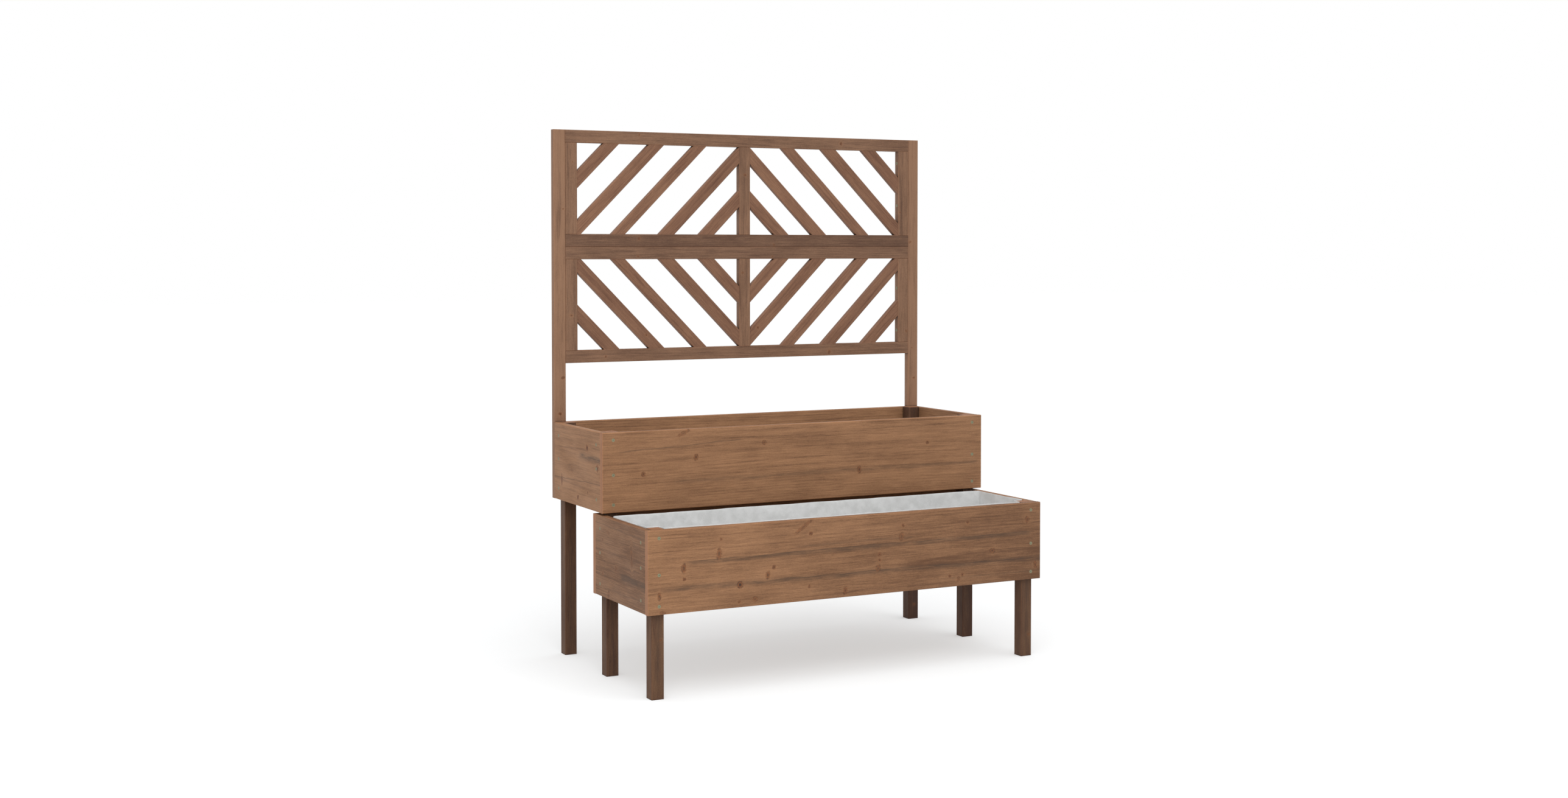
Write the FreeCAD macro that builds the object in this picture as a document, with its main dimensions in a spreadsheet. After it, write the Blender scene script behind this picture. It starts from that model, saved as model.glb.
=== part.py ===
"""Two-tier wooden planter with a trellis behind the upper box, in millimetres.

X runs along the boxes, Y from the front to the back, Z up. The origin is at the
middle of the footprint, on the floor.
"""
import FreeCAD, Part
import math
import os
import Sketcher
from FreeCAD import Placement, Rotation, Vector

os.makedirs("parts", exist_ok=True)
doc = FreeCAD.newDocument("PlanterWithTrellis")

# Driving sizes: alias, value, what it is
drivingSizes = [
    ("overallLength", 1000, "both boxes and the trellis, end to end"),
    ("lowerDepth", 308, "lower box, face of the front board to face of the back board"),
    ("upperDepth", 299, "upper box, face of the front board to the rear end of the end boards"),
    ("boardThickness", 14, "all box boards"),
    ("boardHeight", 180, "all box boards"),
    ("legSide", 29, "square legs"),
    ("footHeight", 183, "floor to the underside of the lower box"),
    ("tierGap", 5, "lower rim to the underside of the upper box"),
    ("easedEdge", 2, "radius along the edges of boards and legs"),
    ("battenSide", 20, "square battens that carry the floor"),
    ("floorSlatThickness", 12, "floor slats"),
    ("floorSlatWidth", 88, "floor slats"),
    ("floorSlatClearance", 1, "floor slat to board or leg"),
    ("linerThickness", 1.5, "felt liner"),
    ("linerClearance", 0.8, "felt liner to wood"),
    ("lowerLinerRise", 2, "lower liner above its rim"),
    ("lowerLinerSetback", 14, "lower liner's rear wall to the upper box"),
    ("upperLinerDrop", 35, "upper liner below its rim"),
    ("trellisThickness", 17, "uprights, rails and stiles"),
    ("uprightWidth", 29, "outer uprights"),
    ("stileWidth", 30, "upright members of a panel"),
    ("railHeight", 30, "level members of a panel"),
    ("latticeWidth", 29, "diagonal slats of a panel"),
    ("middleSlatWidth", 25, "the diagonal slat from rail to rail"),
    ("latticeThickness", 14, "diagonal slats of a panel"),
    ("latticeInset", 1, "front of the frame to the front of the slats"),
    ("cornerGap", 67, "corner of the frame to the first slat, along a rail or stile"),
    ("outerSlatFoot", 10, "width of the fourth slat's foot beside the outer stile"),
    ("middleSlatFoot", 87.5, "outer stile to the middle slat, along the rail"),
    ("panelHeight", 275, "one framed panel"),
    ("panelLift", 138, "upper rim to the lower panel"),
    ("trellisEase", 1, "bevel along the edges of the trellis members"),
    ("screwShank", 4, "diameter of every screw"),
    ("screwHead", 8.5, "diameter of every flat head"),
    ("screwClearance", 0.1, "hole over screw, on the diameter"),
    ("boardScrewLength", 34, "board to leg"),
    ("uprightScrewLength", 36, "upright to rear leg"),
    ("panelScrewLength", 50, "stile edge to upright"),
    ("battenScrewLength", 30, "batten to board"),
    ("longBoardScrewFromEnd", 26, "end of a front or back board to its row of screws"),
    ("endBoardScrewFromEnd", 25, "end of an end board to its row of screws"),
    ("battenScrewFromEnd", 60, "batten end to its first screw"),
]
floorSlatCount = 10
battenScrewCount = 3
screwFlats = 8
# Heights of the three screws above a board's lower edge, as shares of the board's height.
# Screws on neighbouring faces of a leg are staggered, so that they pass each other inside it.
longBoardScrewShares = (0.100, 0.469, 0.904)
endBoardScrewShares = (0.150, 0.534, 0.836)
uprightScrewShares = (0.200, 0.400, 0.730)
# The two screws of a panel's outer stile, as shares of the clear height between the rails
panelScrewShares = (0.355, 0.860)
rootTwo = math.sqrt(2)
parallel = 0.9999    # least cosine between two edges that run the same way
tiny = 1e-6
easeLimit = 0.4      # an eased edge takes no more than this share of the thinnest side

sheet = doc.addObject("Spreadsheet::Sheet", "Sizes")
for row, (alias, value, note) in enumerate(drivingSizes, start=1):
    sheet.set(f"A{row}", note)
    sheet.set(f"B{row}", str(value))
    sheet.setAlias(f"B{row}", alias)
doc.recompute()


class Size:
    """A length that knows its value and its formula in the sheet."""

    def __init__(self, value, formula):
        self.value = float(value)
        self.formula = formula

    def __add__(self, other):
        other = asSize(other)
        return Size(self.value + other.value, f"({self.formula} + {other.formula})")

    def __sub__(self, other):
        other = asSize(other)
        return Size(self.value - other.value, f"({self.formula} - {other.formula})")

    def __mul__(self, factor):
        return Size(self.value * factor, f"{self.formula} * {factor}")

    def __truediv__(self, divisor):
        return Size(self.value / divisor, f"{self.formula} / {divisor}")

    def __radd__(self, other):
        return asSize(other) + self

    def __rsub__(self, other):
        return asSize(other) - self

    __rmul__ = __mul__

    def __neg__(self):
        return Size(-self.value, f"(0 - {self.formula})")


def asSize(length):
    return length if isinstance(length, Size) else Size(length, str(length))


def sheetSize(alias):
    return Size(sheet.get(alias), f"Sizes.{alias}")


overallLength = sheetSize("overallLength")
lowerDepth = sheetSize("lowerDepth")
upperDepth = sheetSize("upperDepth")
boardThickness = sheetSize("boardThickness")
boardHeight = sheetSize("boardHeight")
legSide = sheetSize("legSide")
footHeight = sheetSize("footHeight")
tierGap = sheetSize("tierGap")
easedEdge = sheetSize("easedEdge")
battenSide = sheetSize("battenSide")
floorSlatThickness = sheetSize("floorSlatThickness")
floorSlatWidth = sheetSize("floorSlatWidth")
floorSlatClearance = sheetSize("floorSlatClearance")
linerThickness = sheetSize("linerThickness")
linerClearance = sheetSize("linerClearance")
lowerLinerRise = sheetSize("lowerLinerRise")
lowerLinerSetback = sheetSize("lowerLinerSetback")
upperLinerDrop = sheetSize("upperLinerDrop")
trellisThickness = sheetSize("trellisThickness")
uprightWidth = sheetSize("uprightWidth")
stileWidth = sheetSize("stileWidth")
railHeight = sheetSize("railHeight")
latticeWidth = sheetSize("latticeWidth")
middleSlatWidth = sheetSize("middleSlatWidth")
latticeThickness = sheetSize("latticeThickness")
latticeInset = sheetSize("latticeInset")
cornerGap = sheetSize("cornerGap")
outerSlatFoot = sheetSize("outerSlatFoot")
middleSlatFoot = sheetSize("middleSlatFoot")
panelHeight = sheetSize("panelHeight")
panelLift = sheetSize("panelLift")
trellisEase = sheetSize("trellisEase")
screwShank = sheetSize("screwShank")
screwHead = sheetSize("screwHead")
screwClearance = sheetSize("screwClearance")
boardScrewLength = sheetSize("boardScrewLength")
uprightScrewLength = sheetSize("uprightScrewLength")
panelScrewLength = sheetSize("panelScrewLength")
battenScrewLength = sheetSize("battenScrewLength")
longBoardScrewFromEnd = sheetSize("longBoardScrewFromEnd")
endBoardScrewFromEnd = sheetSize("endBoardScrewFromEnd")
battenScrewFromEnd = sheetSize("battenScrewFromEnd")

# Levels above the floor
lowerBottom = footHeight
lowerTop = footHeight + boardHeight
upperBottom = lowerTop + tierGap
upperTop = upperBottom + boardHeight
lowerPanelBottom = upperTop + panelLift
upperPanelBottom = lowerPanelBottom + panelHeight
trellisTop = upperPanelBottom + panelHeight

# Places along Y. The middle legs stand inside the back board of the lower box
# and inside the front board of the upper box, so they set where the upper box is.
upperOverLower = boardThickness * 2 + legSide
totalDepth = lowerDepth - upperOverLower + upperDepth + trellisThickness
lowerFront = -totalDepth / 2
lowerBack = lowerFront + lowerDepth
upperFront = lowerBack - upperOverLower
upperRear = upperFront + upperDepth
middleLegFront = lowerBack - boardThickness - legSide
rearLegFront = upperRear - legSide

# Places along X
leftEnd = -overallLength / 2
rightEnd = overallLength / 2
leftLeg = leftEnd + boardThickness
rightLeg = rightEnd - boardThickness - legSide
betweenLegs = overallLength - (boardThickness + legSide) * 2
betweenEnds = overallLength - boardThickness * 2


def bind(feature, prop, length):
    feature.setExpression(prop, asSize(length).formula)


def place(feature, x, y, z):
    bind(feature, "Placement.Base.x", x)
    bind(feature, "Placement.Base.y", y)
    bind(feature, "Placement.Base.z", z)


def newBody(label):
    body = doc.addObject("PartDesign::Body", "Body_" + label)
    body.Label = label
    return body


def newSketch(body, name, planeRole, offset=None):
    """A sketch on one of the body's own origin planes, moved along that plane's normal."""
    sketch = body.newObject("Sketcher::SketchObject", name)
    plane = next(p for p in body.Origin.OriginFeatures if p.Role == planeRole)
    sketch.AttachmentSupport = [(plane, "")]
    sketch.MapMode = "FlatFace"
    if offset is not None:
        bind(sketch, "AttachmentOffset.Base.z", offset)
    return sketch


def pinPoint(sketch, geometry, point, x, y):
    """Hold a sketch point at a distance from the sketch's origin, along both axes."""
    originPoint = (-1, 1)
    for kind, axis, length in (("DistanceX", -2, x), ("DistanceY", -1, y)):
        if abs(length.value) < tiny:
            sketch.addConstraint(Sketcher.Constraint("PointOnObject", geometry, point, axis))
            continue
        index = sketch.addConstraint(
            Sketcher.Constraint(kind, *originPoint, geometry, point, length.value))
        bind(sketch, f"Constraints[{index}]", length)


def addOutline(sketch, corners):
    """A closed outline of straight lines through the given corners."""
    corners = [(asSize(x), asSize(y)) for x, y in corners]
    points = [Vector(x.value, y.value, 0) for x, y in corners]
    count = len(points)
    for i in range(count):
        sketch.addGeometry(Part.LineSegment(points[i], points[(i + 1) % count]), False)
    for i in range(count):
        sketch.addConstraint(Sketcher.Constraint("Coincident", i, 2, (i + 1) % count, 1))
    for i, (x, y) in enumerate(corners):
        pinPoint(sketch, i, 1, x, y)


def padOutline(body, planeRole, corners, thickness):
    """The outline as a plate that grows towards +X, +Y or +Z from its plane."""
    sketch = newSketch(body, body.Label + "_outline", planeRole)
    addOutline(sketch, corners)
    pad = body.newObject("PartDesign::Pad", body.Label + "_pad")
    pad.Profile = sketch
    bind(pad, "Length", thickness)
    pad.Reversed = planeRole == "XZ_Plane"    # that plane's normal is -Y
    sketch.Visibility = False
    doc.recompute()
    return pad


def grainEdges(feature):
    """The names of the edges that run with the grain, the way of the longest edge."""
    straight = [e for e in feature.Shape.Edges if isinstance(e.Curve, Part.Line)]
    grain = max(straight, key=lambda e: e.Length).tangentAt(0)
    names = []
    for number, edge in enumerate(feature.Shape.Edges, start=1):
        if isinstance(edge.Curve, Part.Line) and abs(edge.tangentAt(0).dot(grain)) > parallel:
            names.append(f"Edge{number}")
    return names


def easeEdges(body, kind, prop, size, thinnestSide):
    """Take off the edges along the grain: a Fillet by its Radius or a Chamfer by its Size."""
    base = body.Tip
    eased = body.newObject("PartDesign::" + kind, body.Label + "_eased")
    eased.Base = (base, grainEdges(base))
    limit = thinnestSide * easeLimit
    bind(eased, prop, Size(min(size.value, limit.value), f"min({size.formula}; {limit.formula})"))
    doc.recompute()


def roundGrainEdges(body, thinnestSide):
    easeEdges(body, "Fillet", "Radius", easedEdge, thinnestSide)


def bevelGrainEdges(body, thinnestSide):
    easeEdges(body, "Chamfer", "Size", trellisEase, thinnestSide)


def drill(body, name, starts, way, depth):
    """Eight-sided holes for the screws' shanks, each from a point on a face of the piece."""
    before = body.Tip.Shape.Volume
    for number, start in enumerate(starts, start=1):
        hole = body.newObject("PartDesign::SubtractivePrism", f"{body.Label}_{name}_{number}")
        hole.Polygon = screwFlats
        bind(hole, "Circumradius", (screwShank + screwClearance) / 2)
        bind(hole, "Height", depth)
        hole.Placement = Placement(Vector(), Rotation(Vector(0, 0, 1), way))
        place(hole, *start)
    doc.recompute()
    if body.Tip.Shape.Volume >= before:
        raise RuntimeError(f"{body.Label}: {name} cut nothing")


def drillCountersunk(body, name, starts, way, thickness):
    """Holes right through, their rims cut back at 45 degrees for the flat heads."""
    drill(body, name, starts, way, thickness)
    base = body.Tip
    face = Vector(*(asSize(length).value for length in starts[0])).dot(way)
    rims = []
    for number, edge in enumerate(base.Shape.Edges, start=1):
        inFace = all(abs(vertex.Point.dot(way) - face) < tiny for vertex in edge.Vertexes)
        if inFace and edge.Length < screwShank.value:
            rims.append(f"Edge{number}")
    countersinks = body.newObject("PartDesign::Chamfer", f"{body.Label}_{name}_countersinks")
    countersinks.Base = (base, rims)
    bind(countersinks, "Size", (screwHead - screwShank) / 2)
    doc.recompute()


def rectangle(width, height):
    return [(0, 0), (width, 0), (width, height), (0, height)]


def shares(length, fractions):
    return [length * fraction for fraction in fractions]


longBoardHeights = shares(boardHeight, longBoardScrewShares)
endBoardHeights = shares(boardHeight, endBoardScrewShares)
uprightHeights = shares(boardHeight, uprightScrewShares)
forward, backward = Vector(0, -1, 0), Vector(0, 1, 0)
leftward, rightward = Vector(-1, 0, 0), Vector(1, 0, 0)
nodes = []
screwPlaces = {}


def addScrews(group, length, corner, starts, way):
    """Note a group's screws: each head's centre, seen from the piece's corner, and the way it points."""
    for start in starts:
        at = [a + b for a, b in zip(corner, start)]
        screwPlaces.setdefault(group, []).append((length, at, way))


# ---- Boards of the boxes

def longBoard(label, tier, x, y, z, length, fromEnd, facesBack):
    """A board along X whose screw heads show on its front or its back face."""
    body = newBody(label)
    padOutline(body, "XZ_Plane", rectangle(length, boardHeight), boardThickness)
    roundGrainEdges(body, boardThickness)
    face, way = (boardThickness, forward) if facesBack else (0, backward)
    starts = [(column, face, height) for column in (fromEnd, length - fromEnd)
              for height in longBoardHeights]
    drillCountersunk(body, "hole", starts, way, boardThickness)
    place(body, x, y, z)
    nodes.append(body)
    addScrews(tier + "_board_screws", boardScrewLength, (x, y, z), starts, way)


def endBoard(label, tier, x, y, z, depth, facesRight):
    """A board along Y behind the front board; its screw heads show on the box's outer side."""
    body = newBody(label)
    padOutline(body, "YZ_Plane", rectangle(depth, boardHeight), boardThickness)
    roundGrainEdges(body, boardThickness)
    face, way = (boardThickness, leftward) if facesRight else (0, rightward)
    starts = [(face, row, height) for row in (endBoardScrewFromEnd, depth - endBoardScrewFromEnd)
              for height in endBoardHeights]
    drillCountersunk(body, "hole", starts, way, boardThickness)
    place(body, x, y, z)
    nodes.append(body)
    addScrews(tier + "_board_screws", boardScrewLength, (x, y, z), starts, way)


longBoard("lower_front_board", "lower", leftEnd, lowerFront, lowerBottom, overallLength,
          longBoardScrewFromEnd, False)
longBoard("lower_back_board", "lower", leftEnd, lowerBack - boardThickness, lowerBottom, overallLength,
          longBoardScrewFromEnd, True)
longBoard("upper_front_board", "upper", leftEnd, upperFront, upperBottom, overallLength,
          longBoardScrewFromEnd, False)
# The upper back board stands between the uprights and covers what they leave of the rear legs.
backBoardLength = overallLength - uprightWidth * 2
backBoardScrewFromEnd = (boardThickness + legSide - uprightWidth) / 2
longBoard("upper_back_board", "upper", leftEnd + uprightWidth, upperRear, upperBottom, backBoardLength,
          backBoardScrewFromEnd, True)

lowerEndDepth = lowerDepth - boardThickness * 2
upperEndDepth = upperDepth - boardThickness
for side, x, facesRight in (("left", leftEnd, False), ("right", rightEnd - boardThickness, True)):
    endBoard(f"lower_{side}_end_board", "lower", x, lowerFront + boardThickness, lowerBottom,
             lowerEndDepth, facesRight)
    endBoard(f"upper_{side}_end_board", "upper", x, upperFront + boardThickness, upperBottom,
             upperEndDepth, facesRight)


# ---- Legs

pilotDepth = boardScrewLength - boardThickness + screwClearance
uprightPilotDepth = uprightScrewLength - trellisThickness + screwClearance


def leg(label, x, y, height):
    body = newBody(label)
    padOutline(body, "XY_Plane", rectangle(legSide, legSide), height)
    roundGrainEdges(body, legSide)
    place(body, x, y, 0)
    nodes.append(body)
    return body


def drillLegSide(body, name, row, bottom, isRight):
    """Pilot holes of an end board's screws, from the leg's outer side."""
    x, way = (legSide, leftward) if isRight else (0, rightward)
    starts = [(x, row, bottom + height) for height in endBoardHeights]
    drill(body, name, starts, way, pilotDepth)


def drillLegFront(body, name, column, bottom, heights):
    starts = [(column, 0, bottom + height) for height in heights]
    drill(body, name, starts, backward, pilotDepth)


def drillLegBack(body, name, column, bottom, heights, depth):
    starts = [(column, legSide, bottom + height) for height in heights]
    drill(body, name, starts, forward, depth)


for side, x, isRight in (("left", leftLeg, False), ("right", rightLeg, True)):
    boardColumn = longBoardScrewFromEnd - boardThickness
    backBoardColumn = uprightWidth + backBoardScrewFromEnd - boardThickness
    uprightColumn = (uprightWidth - boardThickness) / 2
    if isRight:
        boardColumn = legSide - boardColumn
        backBoardColumn = legSide - backBoardColumn
        uprightColumn = legSide - uprightColumn
    frontRow = endBoardScrewFromEnd
    rearRow = legSide - endBoardScrewFromEnd

    front = leg(f"front_{side}_leg", x, lowerFront + boardThickness, lowerTop)
    drillLegSide(front, "side_pilot", frontRow, lowerBottom, isRight)
    drillLegFront(front, "front_pilot", boardColumn, lowerBottom, longBoardHeights)

    middle = leg(f"middle_{side}_leg", x, middleLegFront, upperTop)
    drillLegSide(middle, "lower_side_pilot", rearRow, lowerBottom, isRight)
    drillLegSide(middle, "upper_side_pilot", frontRow, upperBottom, isRight)
    drillLegFront(middle, "front_pilot", boardColumn, upperBottom, longBoardHeights)
    drillLegBack(middle, "back_pilot", boardColumn, lowerBottom, longBoardHeights, pilotDepth)

    rear = leg(f"rear_{side}_leg", x, rearLegFront, upperTop)
    drillLegSide(rear, "side_pilot", rearRow, upperBottom, isRight)
    drillLegBack(rear, "board_pilot", backBoardColumn, upperBottom, longBoardHeights, pilotDepth)
    drillLegBack(rear, "upright_pilot", uprightColumn, upperBottom, uprightHeights, uprightPilotDepth)


# ---- Battens and floor slats

battenSpacing = (betweenLegs - battenScrewFromEnd * 2) / (battenScrewCount - 1)
battenColumns = [battenScrewFromEnd + battenSpacing * i for i in range(battenScrewCount)]
battenPilotDepth = battenScrewLength - battenSide + screwClearance


def batten(label, board, boardX, y, z, atBack):
    """A square batten along a long board, between the legs; its screws come from inside the box."""
    body = newBody(label)
    padOutline(body, "XZ_Plane", rectangle(betweenLegs, battenSide), battenSide)
    face, way, boardFace = (0, backward, 0) if atBack else (battenSide, forward, boardThickness)
    starts = [(column, face, battenSide / 2) for column in battenColumns]
    drillCountersunk(body, "hole", starts, way, battenSide)
    x = leftLeg + legSide
    place(body, x, y, z)
    nodes.append(body)
    addScrews("batten_screws", battenScrewLength, (x, y, z), starts, way)
    pilots = [(x - boardX + column, boardFace, battenSide / 2) for column in battenColumns]
    drill(board, "batten_pilot", pilots, way, battenPilotDepth)


def floorSlats(label, y, z, length):
    """Slats across the box with even drainage gaps; the end slats are notched round the legs."""
    slatLength = length - floorSlatClearance * 2
    pitch = (betweenEnds - floorSlatClearance * 2 - floorSlatWidth) / (floorSlatCount - 1)
    notch = legSide + floorSlatClearance
    slats = []
    for i in range(floorSlatCount):
        slat = doc.addObject("Part::Box", f"{label}_{i + 1}")
        bind(slat, "Length", floorSlatWidth)
        bind(slat, "Width", slatLength)
        bind(slat, "Height", floorSlatThickness)
        place(slat, leftLeg + floorSlatClearance + pitch * i, y + floorSlatClearance, z)
        if i in (0, floorSlatCount - 1):
            notchX = leftLeg if i == 0 else rightLeg - floorSlatClearance
            corners = []
            for corner, notchY in enumerate((y, y + length - notch)):
                cutter = doc.addObject("Part::Box", f"{label}_{i + 1}_notch_{corner + 1}")
                bind(cutter, "Length", notch)
                bind(cutter, "Width", notch)
                bind(cutter, "Height", floorSlatThickness)
                place(cutter, notchX, notchY, z)
                corners.append(cutter)
            notches = doc.addObject("Part::Fuse", f"{label}_{i + 1}_notches")
            notches.Base, notches.Tool = corners
            notched = doc.addObject("Part::Cut", f"{label}_{i + 1}_notched")
            notched.Base, notched.Tool = slat, notches
            slat = notched
        slats.append(slat)
    group = doc.addObject("Part::Compound", label)
    group.Label = label
    group.Links = slats
    nodes.append(group)


boards = {node.Label: node for node in nodes}
boxes = (("lower", lowerFront, lowerBack, lowerBottom, leftEnd),
         ("upper", upperFront, upperRear + boardThickness, upperBottom, leftEnd + uprightWidth))
for tier, frontFace, backFace, bottom, backBoardLeft in boxes:
    inside = backFace - frontFace - boardThickness * 2
    batten(f"{tier}_front_batten", boards[f"{tier}_front_board"], leftEnd,
           frontFace + boardThickness, bottom, False)
    batten(f"{tier}_back_batten", boards[f"{tier}_back_board"], backBoardLeft,
           backFace - boardThickness - battenSide, bottom, True)
    floorSlats(f"{tier}_floor_slats", frontFace + boardThickness, bottom + battenSide, inside)


# ---- Felt liners

def legCornered(label, x, y, z, length, depth, height, notch, rearNotched):
    """A block with a square notch at each corner where a leg stands."""
    block = doc.addObject("Part::Box", label + "_block")
    bind(block, "Length", length)
    bind(block, "Width", depth)
    bind(block, "Height", height)
    place(block, x, y, z)
    corners = []
    for cornerX in (x, x + length - notch):
        for cornerY in (y, y + depth - notch)[:1 + rearNotched]:
            cutter = doc.addObject("Part::Box", f"{label}_leg_{len(corners) + 1}")
            bind(cutter, "Length", notch)
            bind(cutter, "Width", notch)
            bind(cutter, "Height", height)
            place(cutter, cornerX, cornerY, z)
            corners.append(cutter)
    legs = doc.addObject("Part::MultiFuse", label + "_legs")
    legs.Shapes = corners
    cornered = doc.addObject("Part::Cut", label + "_cornered")
    cornered.Base, cornered.Tool = block, legs
    return cornered


def liner(label, y, z, depth, height, rearNotched):
    """An open felt bag on the floor slats, against the boards and round the legs."""
    x = leftEnd + boardThickness + linerClearance
    length = betweenEnds - linerClearance * 2
    outer = legCornered(label + "_outer", x, y, z, length, depth, height, legSide, rearNotched)
    wall = linerThickness
    inner = legCornered(label + "_inner", x + wall, y + wall, z + wall, length - wall * 2,
                        depth - wall * 2, height, legSide, rearNotched)
    bag = doc.addObject("Part::Cut", label)
    bag.Label = label
    bag.Base, bag.Tool = outer, inner
    nodes.append(bag)


floorTop = battenSide + floorSlatThickness
besideBoard = boardThickness + linerClearance
# The lower liner ends in front of the upper box; the upper one fills its box.
liner("lower_liner", lowerFront + besideBoard, lowerBottom + floorTop,
      upperFront - lowerLinerSetback - lowerFront - besideBoard,
      boardHeight - floorTop + lowerLinerRise, False)
liner("upper_liner", upperFront + besideBoard, upperBottom + floorTop,
      upperRear - linerClearance - upperFront - besideBoard,
      boardHeight - floorTop - upperLinerDrop, True)


# ---- Trellis

uprightLength = trellisTop - upperBottom
halfClear = (overallLength - (uprightWidth + stileWidth) * 2 - stileWidth) / 2
clearHeight = panelHeight - railHeight * 2
latticeRun = latticeWidth * rootTwo          # a slat's width along a rail or stile
middleSlatRun = middleSlatWidth * rootTwo
panelScrewHeights = [railHeight + clearHeight * share for share in panelScrewShares]


def panelHeights(isUpper):
    """Screw heights in a panel; the lower panel is the upper one turned over."""
    if isUpper:
        return panelScrewHeights
    return [panelHeight - height for height in panelScrewHeights]


def upright(label, x, isRight):
    """An outer upright: countersunk from behind into the rear leg, with pilots for the panels."""
    body = newBody(label)
    padOutline(body, "XZ_Plane", rectangle(uprightWidth, uprightLength), trellisThickness)
    bevelGrainEdges(body, trellisThickness)
    column = boardThickness + (uprightWidth - boardThickness) / 2
    if isRight:
        column = uprightWidth - column
    starts = [(column, trellisThickness, height) for height in uprightHeights]
    drillCountersunk(body, "hole", starts, forward, trellisThickness)
    face, way = (0, rightward) if isRight else (uprightWidth, leftward)
    pilots = [(face, trellisThickness / 2, panelBottom - upperBottom + height)
              for panelBottom, isUpper in ((lowerPanelBottom, False), (upperPanelBottom, True))
              for height in panelHeights(isUpper)]
    drill(body, "panel_pilot", pilots, way, panelScrewLength - stileWidth + screwClearance)
    place(body, x, upperRear, upperBottom)
    nodes.append(body)
    addScrews("upright_screws", uprightScrewLength, (x, upperRear, upperBottom), starts, forward)


def frameMember(label, x, z, width, height):
    body = newBody(label)
    padOutline(body, "XZ_Plane", rectangle(width, height), trellisThickness)
    bevelGrainEdges(body, trellisThickness)
    place(body, x, upperRear, z)
    nodes.append(body)
    return body


def outerStile(label, x, z, heights, isRight):
    """A stile beside an upright, screwed to it through its inner edge."""
    stile = frameMember(label, x, z, stileWidth, clearHeight)
    face, way = (0, rightward) if isRight else (stileWidth, leftward)
    starts = [(face, trellisThickness / 2, height - railHeight) for height in heights]
    drillCountersunk(stile, "hole", starts, way, stileWidth)
    addScrews("panel_screws", panelScrewLength, (x, upperRear, z), starts, way)


def latticeSlat(label, corners, x, z, turn):
    """A slat at 45 degrees, drawn in a corner of the frame and turned about Y into its place."""
    body = newBody(label)
    padOutline(body, "XZ_Plane", corners, latticeThickness)
    bevelGrainEdges(body, latticeThickness)
    body.Placement = Placement(Vector(), Rotation(Vector(0, 1, 0), turn))
    place(body, x, upperRear + latticeInset, z)
    nodes.append(body)


def acrossCorner(near):
    """A slat from rail to stile, its near edge at this distance from their corner."""
    far = near + latticeRun
    return [(near, 0), (far, 0), (0, far), (0, near)]


def acrossFrame(isMirrored):
    """A slat across the outer corner that also stands on the other rail, beside the stile."""
    far = clearHeight + outerSlatFoot
    near = far - latticeRun
    corners = [(near, 0), (far, 0), (outerSlatFoot, clearHeight), (0, clearHeight), (0, near)]
    return [(y, x) for x, y in reversed(corners)] if isMirrored else corners


def railToRail(isUpper, isRight):
    """The middle slat: nearest the outer stile where it meets the middle rails."""
    near, far = middleSlatFoot, middleSlatFoot + middleSlatRun
    corners = [(near, 0), (far, 0), (far + clearHeight, clearHeight), (near + clearHeight, clearHeight)]
    if not isUpper:
        corners = [(x, clearHeight - y) for x, y in reversed(corners)]
    return [(-x, y) for x, y in reversed(corners)] if isRight else corners


# How far a corner's own drawing is turned about Y, by the way that its rail and its stile run
cornerTurns = {("right", "up"): 0, ("right", "down"): 90, ("left", "down"): 180, ("left", "up"): -90}


def trellisPanel(tier, panelBottom, isUpper):
    """Rails over stiles, and in each half five slats. The lower panel mirrors the upper one."""
    left = leftEnd + uprightWidth
    railLength = overallLength - uprightWidth * 2
    clearBottom = panelBottom + railHeight
    clearTop = clearBottom + clearHeight
    frameMember(f"{tier}_panel_top_rail", left, clearTop, railLength, railHeight)
    frameMember(f"{tier}_panel_bottom_rail", left, panelBottom, railLength, railHeight)
    centreLeft = left + stileWidth + halfClear
    frameMember(f"{tier}_panel_centre_stile", centreLeft, clearBottom, stileWidth, clearHeight)
    rightStile = rightEnd - uprightWidth - stileWidth
    heights = panelHeights(isUpper)
    outerStile(f"{tier}_panel_left_stile", left, clearBottom, heights, False)
    outerStile(f"{tier}_panel_right_stile", rightStile, clearBottom, heights, True)
    # Two slats cross the corner of the centre stile and the middle rails, two cross the
    # opposite corner, and one stands between them.
    middleZ, outerZ = (clearBottom, clearTop) if isUpper else (clearTop, clearBottom)
    fromMiddle, fromOuter = ("up", "down") if isUpper else ("down", "up")
    halves = (("left", "right", centreLeft, left + stileWidth),
              ("right", "left", centreLeft + stileWidth, rightStile))
    for side, otherSide, centreX, outerX in halves:
        prefix = f"{tier}_panel_{side}_slat"
        middleTurn = cornerTurns[(side, fromMiddle)]
        outerTurn = cornerTurns[(otherSide, fromOuter)]
        isMirrored = outerTurn in (90, -90)
        latticeSlat(f"{prefix}_1", acrossCorner(cornerGap), centreX, middleZ, middleTurn)
        latticeSlat(f"{prefix}_2", acrossCorner(clearHeight - latticeRun), centreX, middleZ, middleTurn)
        latticeSlat(f"{prefix}_3", railToRail(isUpper, side == "right"), outerX, clearBottom, 0)
        latticeSlat(f"{prefix}_4", acrossFrame(isMirrored), outerX, outerZ, outerTurn)
        latticeSlat(f"{prefix}_5", acrossCorner(cornerGap), outerX, outerZ, outerTurn)


upright("left_upright", leftEnd, False)
upright("right_upright", rightEnd - uprightWidth, True)
trellisPanel("lower", lowerPanelBottom, False)
trellisPanel("upper", upperPanelBottom, True)


# ---- Screws

def ring(radius, z):
    angles = [2 * math.pi * i / screwFlats for i in range(screwFlats)]
    points = [Vector(radius * math.cos(angle), radius * math.sin(angle), z) for angle in angles]
    return Part.makePolygon(points + points[:1])


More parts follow.
